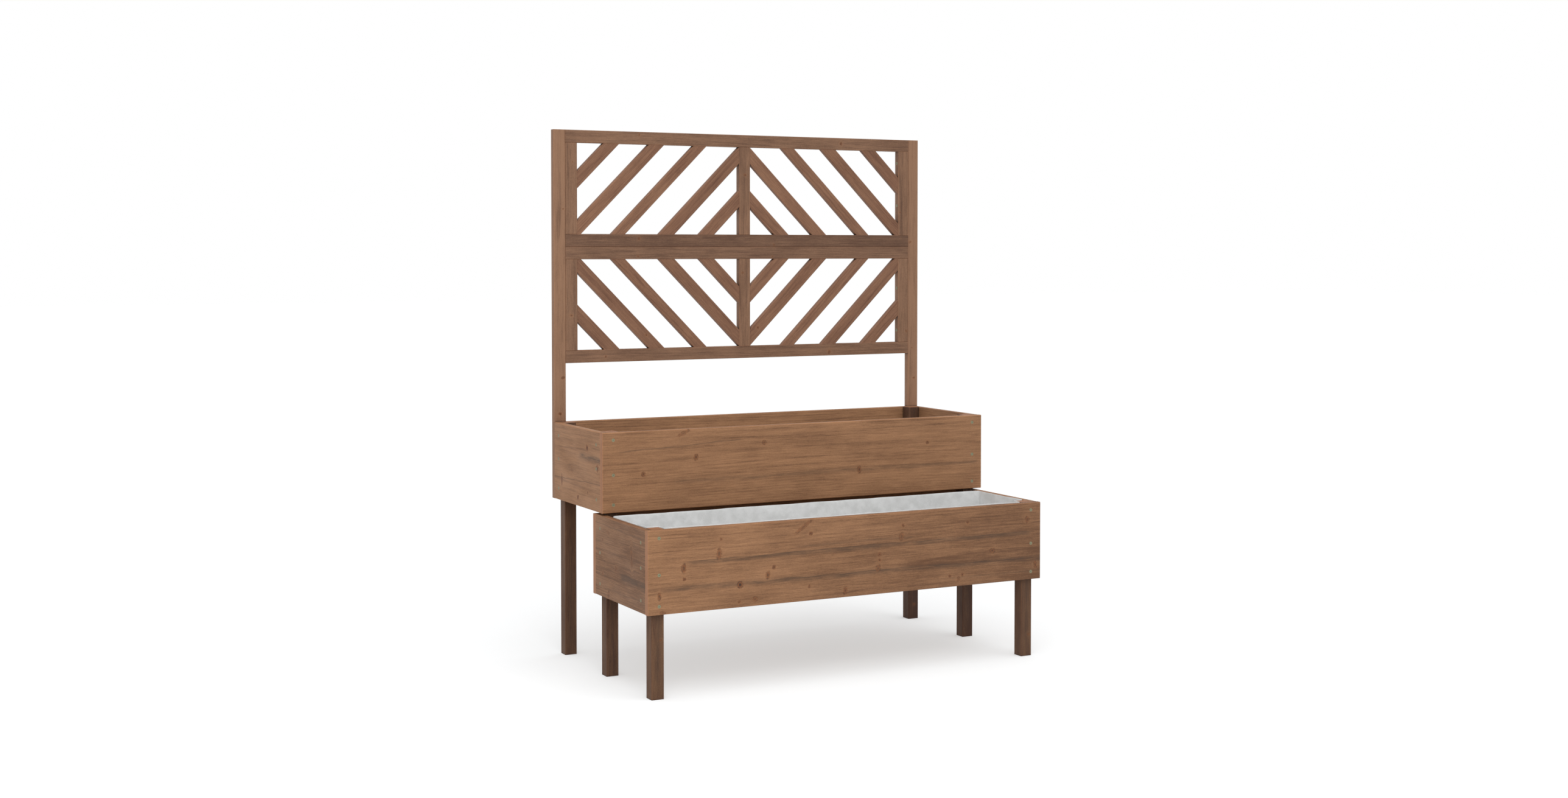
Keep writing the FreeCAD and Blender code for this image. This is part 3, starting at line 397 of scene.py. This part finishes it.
boardMarks = {
    "lower_front_board": {
        # painted shade: the lower front board gets darker towards its right-hand end and towards the bottom
        "toneAndShade": 0.11, "toneAndShadeSlope": (0.0004, -0.0007, 0),
        "knots": [(83, 95, 5, 10, 0, 0.8), (84, 72, 3.5, 3.5, 0, 0.9), (166, 120, 5.5, 12, 5, 0.7),
                  (171, 151, 3, 3, 0, 0.7), (216, 49, 6.5, 7, 0, 1), (283, 65, 5, 8, 8, 0.8),
                  (298, 81, 4, 4, 0, 0.9), (385, 32, 3, 3.5, 0, 0.7), (476, 15, 5, 8, 12, 0.75),
                  (252, 15, 6, 6, 0, 0.6), (214, 12, 3, 3, 0, 0.7), (26, 40, 4, 8, 0, 0.75),
                  (371, 164, 24, 4, -34, 0.6), (389, 148, 4, 4, 0, 0.9), (625, 150, 3.5, 3.5, 0, 0.85),
                  (798, 145, 3.5, 3.5, 0, 0.85), (963, 141, 5, 8, 0, 0.7), (866, 75, 7, 5, 0, 0.75),
                  (564, 89, 4, 4, 0, 0.7), (564, 76, 3.5, 3, 0, 0.8), (560, 58, 6, 8, 15, 0.6),
                  (750, 25, 3.5, 3.5, 0, 0.85), (784, 26, 3.5, 3.5, 0, 0.85), (773, 17, 4, 5, 0, 0.6),
                  (621, 125, 6, 9, 10, 0.55), (986, 34, 4, 9, -8, 0.8), (34, 4, 6, 4, 0, 0.6)],
        "bands": [(104, 110, 8, 60, 955, 0.7), (108, 113, 2.2, 70, 960, 1), (52, 49, 10, 5, 1000, 0.7),
                  (55, 51, 2.2, 180, 1000, 1), (120, 124, 5, 330, 640, 0.45), (16, 20, 5, 700, 1000, 0.35),
                  (128, 130, 1.5, 0, 45, 0.8)]},
    "upper_front_board": {
        "knots": [(228, 115, 5, 7, 10, 0.8), (98, 83, 4.5, 5, 0, 0.8), (197, 171, 16, 4, -25, 0.55),
                  (402, 140, 5, 5, 0, 0.6), (655, 64, 5, 8, 0, 0.8), (845, 120, 4, 4, 0, 0.8)],
        "bands": [(134, 178, 2.5, 10, 330, 0.7), (60, 66, 8, 150, 980, 0.5)]},
    "lower_left_end_board": {
        # painted shade: the left-facing end board is darkened as a whole; it also gets darker towards its front
        # end
        "toneAndShade": 0.2, "toneAndShadeSlope": (-0.0006, 0, 0),
        "knots": [(74, 111, 4, 20, 4, 0.7), (161, 75, 4, 5, 0, 0.75), (238, 52, 3, 4, 0, 0.7),
                  (237, 128, 3, 3, 0, 0.6), (205, 8, 5, 11, -18, 0.6), (206, 148, 8, 3, -14, 0.5)],
        "bands": [(158, 163, 2.5, -80, 300, 0.5), (24, 23, 2.5, -80, 300, 0.5), (58, 66, 16, -80, 120, 0.8)]},
    "upper_left_end_board": {
        "toneAndShade": -0.1, "toneAndShadeSlope": (0, 0, 0),
        "knots": [(79, 139, 5, 6, 0, 1), (17, 98, 6, 8, 0, 0.8), (75, 37, 3, 3, 0, 0.8),
                  (238, 49, 4, 13, 4, 0.75), (136, 20, 5, 5, 0, 0.85), (173, 81, 2, 9, 5, 0.5)],
        "bands": [(62, 54, 2, -80, 300, 0.6), (116, 120, 14, -60, 110, 0.8)]},
}
for name, node in nodes.items():
    if not name.endswith("_board"):
        continue
    marks = boardMarks.get(name, {})
    timber(name, "boards", alongY if "_end_" in name else alongX, alongZ, marks.get("knots", ()),
           marks.get("bands", ((95, 100, 6, 100, 800, 0.5),)), marks.get("toneAndShade", 0.0),
           marks.get("toneAndShadeSlope", (0, 0, 0)), wildKnots=0 if marks else 5)
railTones = {"upper_panel_bottom_rail": 0.35, "lower_panel_top_rail": 0.15, "upper_panel_top_rail": 0.0}
for name in nodes:
    if name.endswith("_leg"):
        # painted shade: the rear legs, under the boxes, and the right-hand legs, away from the light, are
        # painted darker
        timber(name, "legs", alongZ, alongX, bands=((14, 16, 8, 0, 600, 0.45),),
               toneAndShade=0.15 * name.endswith("right_leg") + 0.25 * (not name.startswith("front")), wildKnots=1)
    elif name.endswith("_upright"):
        timber(name, "trellis_frame", alongZ, alongX, toneAndShade=-0.36, wildKnots=3)
    elif name.endswith("_stile"):
        timber(name, "trellis_frame", alongZ, alongX, wildKnots=1)
    elif name.endswith("_rail"):
        timber(name, "trellis_frame", alongX, alongZ, toneAndShade=railTones.get(name, 0.1), wildKnots=2)
    elif name.endswith("_batten"):
        timber(name, "floor_wood", alongX, alongZ, wildKnots=2)
    elif name.endswith("_floor_slats"):
        timber(name, "floor_wood", alongY, alongX, wildKnots=4)
    elif "_slat_" in name:
        # upper left and lower right slats rise to the right, the other two fields mirror them
        rises = ("left" in name) == name.startswith("upper")
        along = Vector((1 if rises else -1, 0, 1)).normalized()
        timber(name, "lattice", along, Vector((-along.z, 0, along.x)),
               wildKnots=random.Random(name).choice((0, 0, 1)))
print("timber: done")

# Screws of zinc-plated steel, cold-headed, with a cross recess, driven flush. The zinc is a dull pale grey
# with a green cast from its bath. Round each head and in its recess it is painted dark brown, a painted shade.
screwSizes = {"headRadius": 4.0, "headDepth": 2.4, "rimBevel": 0.3, "sink": 0.3, "crossReach": 1.6,
              "crossWidth": 0.3, "crossDepth": 0.9, "coreRadius": 1.35, "threadRadius": 1.95,
              "threadPitch": 2.4, "pointLength": 5.0, "plainShank": 8, "threadHalf": 0.35}


# Finds each screw in a group of the frame: the middle of its head, the way its head faces and its length.
def findScrews(node):
    corners, chief = {}, {}
    for vertex in node.data.vertices:
        chief[vertex.index] = corners.setdefault(tuple(round(c / mm * 50) for c in vertex.co), vertex.index)
    root = {index: index for index in corners.values()}

    def top(index):
        while root[index] != index:
            index = root[index]
        return index

    for face in node.data.polygons:
        first, *others = [top(chief[index]) for index in face.vertices]
        for other in others:
            root[top(other)] = top(first)
    bodies = {}
    for index in root:
        bodies.setdefault(top(index), []).append(node.data.vertices[index].co)
    found = []
    for points in bodies.values():
        low, high = [Vector([pick(p[i] for p in points) for i in range(3)]) for pick in (min, max)]
        size = high - low
        axis = max(range(3), key=lambda i: size[i])
        ends = []
        for edge, sign in ((low[axis], -1), (high[axis], 1)):
            ring = [p for p in points if abs(p[axis] - edge) < 0.2 * mm]
            centre = sum(ring, Vector()) / len(ring)
            ends.append((max((p - centre).length for p in ring), centre, sign))
        _, centre, sign = max(ends, key=lambda end: end[0])
        way = Vector([sign if i == axis else 0 for i in range(3)])
        found.append((centre, way, size[axis]))
    return sorted(found, key=lambda screw: tuple(round(c, 5) for c in screw[0]))


# Skins a row of rings with faces; the rings have equally many corners.
def skin(shape, rings, closeStart=False, closeEnd=False):
    for before, after in zip(rings, rings[1:]):
        for i in range(len(before)):
            j = (i + 1) % len(before)
            shape.faces.new((before[i], before[j], after[j], after[i]))
    if closeStart:
        shape.faces.new(rings[0][::-1])
    if closeEnd:
        shape.faces.new(rings[-1])


def circle(shape, place, radius, height, count):
    return [shape.verts.new(place @ Vector((radius * math.cos(2 * math.pi * i / count) * mm,
                                            radius * math.sin(2 * math.pi * i / count) * mm, height * mm)))
            for i in range(count)]


def cross(shape, place, reachOut, width, height):
    quarter = [(reachOut, 0), (reachOut, width), (width, width), (width, reachOut)]
    outline = []
    for turn in range(4):
        for x, y in quarter:
            for _ in range(turn):
                x, y = -y, x
            outline.append((x, y))
    points = []
    for (x, y), (nextX, nextY) in zip(outline, outline[1:] + outline[:1]):
        points += [(x, y), ((x + nextX) / 2, (y + nextY) / 2)]
    return [shape.verts.new(place @ Vector((x * mm, y * mm, height * mm))) for x, y in points]


def drawScrew(shape, centre, way, length, turn):
    s = screwSizes
    place = Matrix.Translation(centre - way * s["sink"] * mm) @ way.to_track_quat("Z", "Y").to_matrix().to_4x4()
    place = place @ Matrix.Rotation(turn, 4, "Z")
    bottom = cross(shape, place, s["crossReach"] * 0.5, s["crossWidth"] * 0.6, -s["crossDepth"])
    skin(shape, [
        bottom,
        cross(shape, place, s["crossReach"], s["crossWidth"], -0.02),
        circle(shape, place, s["headRadius"] - s["rimBevel"], 0, 32),
        circle(shape, place, s["headRadius"], -s["rimBevel"] * 0.7, 32),
        circle(shape, place, s["headRadius"] * 0.93, -s["rimBevel"] * 1.6, 32),
        circle(shape, place, s["coreRadius"], -s["headDepth"] - 0.8, 32)], closeStart=True, closeEnd=True)
    rings = [circle(shape, place, s["coreRadius"] * 0.9, -s["headDepth"], 12)]
    depth = s["headDepth"] + s["plainShank"]
    while depth < length / mm - s["pointLength"]:
        for step, radius in ((-s["threadHalf"], "coreRadius"), (0, "threadRadius"),
                             (s["threadHalf"], "coreRadius")):
            rings.append(circle(shape, place, s[radius], -depth - step, 12))
        depth += s["threadPitch"]
    rings.append(circle(shape, place, 0.15, -length / mm + 0.3, 12))
    skin(shape, rings, closeStart=True, closeEnd=True)


def makePiece(name, shape, material, replaced=()):
    bmesh.ops.recalc_face_normals(shape, faces=shape.faces)
    data = bpy.data.meshes.new(name)
    shape.to_mesh(data)
    shape.free()
    piece = bpy.data.objects.new(name, data)
    sceneRoot.objects.link(piece)
    data.materials.append(material)
    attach(piece, "root")
    if replaced:
        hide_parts(*replaced)


zinc, tree = newMaterial("zincPlatedSteelScrews")
place = add(tree, "ShaderNodeTexCoord", {})
# the zinc's crystals are far finer than a pixel: drawn 1.1 mm wide
dull = add(tree, "ShaderNodeTexNoise", {"Vector": place.outputs["Object"], "Scale": 900, "Detail": 3})
zincColour = add(tree, "ShaderNodeMix", {"Factor": dull, 6: linear("#7C795F"), 7: linear("#99967A")},
                 data_type="RGBA")
# painted shade: an occlusion test darkens the zinc in the recess and round the head
recessOcclusion = add(tree, "ShaderNodeAmbientOcclusion", {"Distance": 0.7 * mm}, samples=8)
paintedRecessShade = add(tree, "ShaderNodeMapRange", {"Value": recessOcclusion.outputs["AO"], "From Min": 0.05, "From Max": 0.4})
withRecessShade = add(tree, "ShaderNodeMix", {"Factor": paintedRecessShade, 6: linear("#3D2E25"), 7: zincColour}, data_type="RGBA")
zincRough = add(tree, "ShaderNodeMapRange", {"Value": dull, "To Min": 0.42, "To Max": 0.65})
plate = add(tree, "ShaderNodeBsdfPrincipled", {"Base Color": withRecessShade, "Metallic": 0.6,
                                               "Roughness": zincRough})
add(tree, "ShaderNodeOutputMaterial", {"Surface": plate})

luck = random.Random(7)
for name in sorted(n for n in nodes if n.endswith("_screws")):
    shape = bmesh.new()
    screws = findScrews(nodes[name])
    for centre, way, length in screws:
        drawScrew(shape, centre, way, length, luck.uniform(0, math.pi / 2))
    makePiece(name + "_turned", shape, zinc, [name])
    print("screws:", name, len(screws))


# Liners of white polyester felt, needle-punched: matt, soft-edged and a little uneven, with the needles'
# rows just showing. A cell has to stay wider than floorRound and fold together, or the cloth turns over
# itself at the foot of its walls.
feltSizes = {"cell": 12, "thickness": 1.5, "clearOfLeg": 0.8, "floorRound": 9, "slack": 6.5, "rimSlack": 2.6,
             "crease": 5.5, "creaseWidth": 0.22, "fold": 2.2, "rimRipple": 0.9}

felt, tree = newMaterial("needlePunchedPolyesterFelt")
place = add(tree, "ShaderNodeTexCoord", {})
# fibres are 0.03 mm thick: drawn as 1.2 mm flecks, with 18 mm clouds where the web was laid thicker
flecks = add(tree, "ShaderNodeTexNoise", {"Vector": place.outputs["Object"], "Scale": 800, "Detail": 3,
                                          "Roughness": 0.7})
clouds = add(tree, "ShaderNodeTexNoise", {"Vector": place.outputs["Object"], "Scale": 55, "Detail": 2})
fleckShare = add(tree, "ShaderNodeMapRange", {"Value": flecks, "From Min": 0.3, "From Max": 0.7,
                                              "To Max": 0.5})
cloudShare = add(tree, "ShaderNodeMapRange", {"Value": clouds, "From Min": 0.35, "From Max": 0.65,
                                              "To Max": 0.5})
whiteness = add(tree, "ShaderNodeMath", {0: fleckShare, 1: cloudShare}, operation="ADD", use_clamp=True)
feltColour = add(tree, "ShaderNodeMix", {"Factor": whiteness, 6: linear("#CFD0CF"), 7: linear("#E7E8E8")},
                 data_type="RGBA")
# needle marks 2.6 mm apart
needles = add(tree, "ShaderNodeTexVoronoi", {"Vector": place.outputs["Object"], "Scale": 385,
                                             "Randomness": 0.6})
pricked = add(tree, "ShaderNodeMapRange", {"Value": needles.outputs["Distance"], "From Max": 0.35})
feltHeight = add(tree, "ShaderNodeMath", {0: flecks, 1: 0.6, 2: pricked}, operation="MULTIPLY_ADD")
feltBump = add(tree, "ShaderNodeBump", {"Height": feltHeight, "Strength": 0.5, "Distance": 0.4 * mm})
cloth = add(tree, "ShaderNodeBsdfPrincipled", {
    "Base Color": feltColour, "Roughness": 0.95, "Sheen Weight": 0.15, "Sheen Roughness": 0.5,
    "Specular IOR Level": 0.2, "Normal": feltBump})
add(tree, "ShaderNodeOutputMaterial", {"Surface": cloth})


def gridLines(low, high, stops):
    edges = sorted({low, high, *[s for s in stops if low < s < high]})
    lines = []
    for start, end in zip(edges, edges[1:]):
        steps = max(1, round((end - start) / (feltSizes["cell"] * mm)))
        lines += [start + (end - start) * i / steps for i in range(steps)]
    return lines + [high]


# A bag that lines one box: a flat bottom on the floor slats, walls up to the rim, cut round the legs it meets.
def makeLiner(name):
    low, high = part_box(name)
    gap = feltSizes["clearOfLeg"] * mm
    posts = []
    for other in nodes:
        if other.endswith("_leg"):
            legLow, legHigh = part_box(other)
            grownLow, grownHigh = legLow - Vector((gap, gap, 0)), legHigh + Vector((gap, gap, 0))
            if (grownLow.x < high.x and grownHigh.x > low.x and grownLow.y < high.y - mm
                    and grownHigh.y > low.y + mm and legHigh.z > low.z + mm):
                posts.append((grownLow, grownHigh))
    xs = gridLines(low.x, high.x, [v for post in posts for v in (post[0].x, post[1].x)])
    ys = gridLines(low.y, high.y, [v for post in posts for v in (post[0].y, post[1].y)])
    shape = bmesh.new()
    corner = {}
    for x0, x1 in zip(xs, xs[1:]):
        for y0, y1 in zip(ys, ys[1:]):
            x, y = (x0 + x1) / 2, (y0 + y1) / 2
            if any(a.x < x < b.x and a.y < y < b.y for a, b in posts):
                continue
            square = []
            for point in ((x0, y0), (x1, y0), (x1, y1), (x0, y1)):
                if point not in corner:
                    corner[point] = shape.verts.new((*point, low.z))
                square.append(corner[point])
            shape.faces.new(square)
    height = high.z - low.z
    footRound = feltSizes["floorRound"] * mm
    steps = [footRound * (1 - math.cos(math.radians(a))) for a in (30, 60, 90)]
    rows = max(1, round((height - footRound) / (feltSizes["cell"] * mm)))
    steps += [footRound + (height - footRound) * (i + 1) / rows for i in range(rows)]
    edge = [e for e in shape.edges if e.is_boundary]
    rowOf = {v: 0.0 for e in edge for v in e.verts}
    for step in steps:
        made = bmesh.ops.extrude_edge_only(shape, edges=edge)["geom"]
        for part in made:
            if isinstance(part, bmesh.types.BMVert):
                part.co.z = low.z + step
                rowOf[part] = step
        edge = [part for part in made if isinstance(part, bmesh.types.BMEdge)]
    shape.normal_update()
    moves = {}
    for vertex, step in rowOf.items():
        inward = Vector((vertex.normal.x, vertex.normal.y, 0))
        if inward.length < 1e-6:
            continue
        inward.normalize()
        rounding = footRound - math.sqrt(max(0, footRound ** 2 - max(0, footRound - step) ** 2))
        share = step / height
        x, y, z = vertex.co
        billow = (noise.noise(Vector((x * 9, y * 9, z * 11))) + 0.55) * 0.75
        bulge = feltSizes["slack"] * math.sin(math.pi * min(1, share * 0.93))
        slack = (bulge + feltSizes["rimSlack"] * share) * mm
        fold = max(0, noise.noise(Vector((x * 31, y * 31, 4 + share)))) * feltSizes["fold"] * mm * (1 - share)
        offCrease = abs(noise.noise(Vector((x * 16 + z * 9, y * 16 + z * 7, 2))))
        crease = max(0, feltSizes["creaseWidth"] - offCrease) / feltSizes["creaseWidth"]
        fold += crease * feltSizes["crease"] * mm * math.sin(math.pi * min(1, share * 0.8))
        moves[vertex] = inward * (rounding + max(0, billow) * slack + fold)
        if share > 0.99:
            ripple = noise.noise(Vector((x * 14, y * 14, 8))) + 0.5
            moves[vertex].z -= max(0, ripple) * feltSizes["rimRipple"] * mm
    for vertex, move in moves.items():
        vertex.co += move
    for face in shape.faces:
        face.smooth = True
    data = bpy.data.meshes.new(name + "_felt")
    shape.to_mesh(data)
    shape.free()
    bag = bpy.data.objects.new(name + "_felt", data)
    sceneRoot.objects.link(bag)
    thick = bag.modifiers.new("feltThickness", "SOLIDIFY")
    thick.thickness = feltSizes["thickness"] * mm
    thick.offset = 1  # the faces look inwards, so the cloth gets thicker away from the boards
    thick.use_even_offset = False
    soft = bag.modifiers.new("softEdges", "SUBSURF")
    soft.levels = soft.render_levels = 1
    data.materials.append(felt)
    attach(bag, "root")
    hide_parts(name)
    return bag


for tier in ("lower", "upper"):
    name = tier + "_liner"
    makeLiner(name)
print("felt: done")


# Staples of bright galvanised wire: across every joint at the back of the lattice, and along the felt's rim.
stapleSizes = {"crown": 10, "leg": 6, "wire": 1.1, "bend": 0.5, "rimSpacing": 130, "belowRim": 9}


def drawStaple(shape, middle, crownWay, outWay):
    s = stapleSizes
    side = crownWay.cross(outWay)
    half, bend, wire = s["crown"] / 2, s["bend"], s["wire"] / 2
    path = [(-half, -s["leg"]), (-half, 0), (-half + bend, bend), (half - bend, bend), (half, 0),
            (half, -s["leg"])]
    rings = []
    for index, (x, y) in enumerate(path):
        before, after = path[max(0, index - 1)], path[min(len(path) - 1, index + 1)]
        run = (crownWay * (after[0] - before[0]) + outWay * (after[1] - before[1])).normalized()
        flat = run.cross(side)
        centre = middle + (crownWay * x + outWay * y) * mm
        # the wire is flattened to 0.7 of its width
        rings.append([shape.verts.new(centre + (side * math.cos(a) + flat * math.sin(a) * 0.7) * wire * mm)
                      for a in (math.radians(30 + 60 * i) for i in range(6))])
    skin(shape, rings, closeStart=True, closeEnd=True)


wireSteel, tree = newMaterial("galvanisedWireStaples")
place = add(tree, "ShaderNodeTexCoord", {})
spangle = add(tree, "ShaderNodeTexNoise", {"Vector": place.outputs["Object"], "Scale": 700, "Detail": 2})
wireColour = add(tree, "ShaderNodeMix", {"Factor": spangle, 6: linear("#8D8F90"), 7: linear("#BFC1C2")},
                 data_type="RGBA")
wireRough = add(tree, "ShaderNodeMapRange", {"Value": spangle, "To Min": 0.3, "To Max": 0.5})
wire = add(tree, "ShaderNodeBsdfPrincipled", {"Base Color": wireColour, "Metallic": 0.9,
                                              "Roughness": wireRough})
add(tree, "ShaderNodeOutputMaterial", {"Surface": wire})

shape = bmesh.new()
luck = random.Random(11)
for name in sorted(nodes):
    if "_slat_" not in name:
        continue
    rises = ("left" in name) == name.startswith("upper")
    along = Vector((1 if rises else -1, 0, 1)).normalized()
    across = Vector((-along.z, 0, along.x))
    lowEnd, highEnd = reach(nodes[name], along)
    lowSide, highSide = reach(nodes[name], across)
    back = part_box(name)[1].y
    for end, sign in ((lowEnd, 1), (highEnd, -1)):
        # the mitre's middle is half the slat's width in from its point
        middle = along * (end + sign * (highSide - lowSide) / 2) + across * (lowSide + highSide) / 2
        tilt = Vector((0, 1, 0)) * 0.2
        drawStaple(shape, Vector((middle.x, back + 0.9 * mm, middle.z)),
                   (-along * sign + tilt).normalized(), (Vector((0, 1, 0)) + along * sign * 0.2).normalized())
for name in sorted(nodes):
    if name.endswith("_stile"):
        low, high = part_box(name)
        for z in (low.z, high.z):
            for share in (0.3, 0.7):
                drawStaple(shape, Vector((low.x + (high.x - low.x) * share, high.y, z)), alongZ, alongY)
makePiece("lattice_staples", shape, wireSteel)

shape = bmesh.new()
for tier in ("lower", "upper"):
    low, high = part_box(tier + "_liner")
    z = high.z - stapleSizes["belowRim"] * mm
    inset = (feltSizes["thickness"] + 1.2) * mm
    count = round((high.x - low.x - 0.08) / (stapleSizes["rimSpacing"] * mm))
    walls = [(low.y + inset, alongY)] + ([(high.y - inset, -alongY)] if tier == "upper" else [])
    for y, out in walls:
        for i in range(count + 1):
            x = low.x + 0.05 + (high.x - low.x - 0.1) * i / count + luck.uniform(-4, 4) * mm
            drawStaple(shape, Vector((x, y, z + luck.uniform(-1.5, 1.5) * mm)), alongX, out)
    for x, out in ((low.x + inset, alongX), (high.x - inset, -alongX)):
        for share in (0.3, 0.7):
            drawStaple(shape, Vector((x, low.y + (high.y - low.y) * share, z)), alongY, out)
makePiece("liner_staples", shape, wireSteel)
print("staples: done")

studio = {"floorSize": 60, "floorColour": "#D6D8D9", "floorGlow": 0.42, "worldStrength": 0.66,
          "sunStrength": 0.85, "sunAngle": 60, "sunTurn": (20, 5), "softBoxPlace": (-1.3, -2.3, 1.7),
          "softBoxAim": (-0.45, -0.1, 0.5), "softBoxSize": 1.6, "softBoxPower": 18}
floorMesh = bmesh.new()
bmesh.ops.create_grid(floorMesh, x_segments=8, y_segments=8, size=studio["floorSize"] / 2)
floorData = bpy.data.meshes.new("paleFloor")
floorMesh.to_mesh(floorData)
floor = bpy.data.objects.new("paleFloor", floorData)
sceneRoot.objects.link(floor)
paint, tree = newMaterial("mattWhiteFloorPaint")  # reads as an endless white ground, and keeps the soft shadow
ray = add(tree, "ShaderNodeLightPath", {})
seen = add(tree, "ShaderNodeMath", {0: ray.outputs["Is Camera Ray"], 1: ray.outputs["Is Glossy Ray"]},
           operation="MAXIMUM")
matt = add(tree, "ShaderNodeBsdfDiffuse", {"Color": linear(studio["floorColour"])})
glow = add(tree, "ShaderNodeMath", {0: seen, 1: studio["floorGlow"]}, operation="MULTIPLY")
lit = add(tree, "ShaderNodeEmission", {"Strength": glow})
both = add(tree, "ShaderNodeAddShader", {0: matt, 1: lit})
add(tree, "ShaderNodeOutputMaterial", {"Surface": both})
floorData.materials.append(paint)

world = bpy.data.worlds.new("softRoom")
bpy.context.scene.world = world
world.use_nodes = True
tree = world.node_tree
tree.nodes.clear()
ray = add(tree, "ShaderNodeLightPath", {})
cameraOrGloss = add(tree, "ShaderNodeMath", {0: ray.outputs["Is Camera Ray"], 1: ray.outputs["Is Glossy Ray"]},
                    operation="MAXIMUM")
seen = add(tree, "ShaderNodeMath", {0: cameraOrGloss, 1: ray.outputs["Is Transmission Ray"]},
           operation="MAXIMUM")
strength = add(tree, "ShaderNodeMapRange", {"Value": seen, "To Min": studio["worldStrength"], "To Max": 1})
sky = add(tree, "ShaderNodeBackground", {"Color": (1, 1, 1, 1), "Strength": strength})
add(tree, "ShaderNodeOutputWorld", {"Surface": sky})

sunData = bpy.data.lights.new("softBox", "SUN")
sunData.energy = studio["sunStrength"]
sunData.angle = math.radians(studio["sunAngle"])
sun = bpy.data.objects.new("softBox", sunData)
sun.rotation_euler = [math.radians(studio["sunTurn"][0]), math.radians(studio["sunTurn"][1]), 0]
sceneRoot.objects.link(sun)

boxData = bpy.data.lights.new("sideBox", "AREA")
boxData.shape = "SQUARE"
boxData.size = studio["softBoxSize"]
boxData.energy = studio["softBoxPower"]
box = bpy.data.objects.new("sideBox", boxData)
box.location = studio["softBoxPlace"]
box.rotation_euler = (Vector(studio["softBoxAim"]) - box.location).to_track_quat("-Z", "Y").to_euler()
sceneRoot.objects.link(box)

view = {"place": (-2.07341, -3.92057, 0.95372), "down": 1.880, "turn": 27.532, "lens": 43.406,
        "shift": -0.05564}
cameraData = bpy.data.cameras.new("photoCamera")
cameraData.lens = view["lens"]
cameraData.sensor_width = 36
cameraData.shift_y = view["shift"]
cameraData.clip_end = 60
camera = bpy.data.objects.new("photoCamera", cameraData)
camera.location = view["place"]
camera.rotation_euler = (math.radians(90 - view["down"]), 0, math.radians(-view["turn"]))
sceneRoot.objects.link(camera)
bpy.context.scene.camera = camera
bpy.context.scene.view_settings.view_transform = "Standard"
print("studio: done")
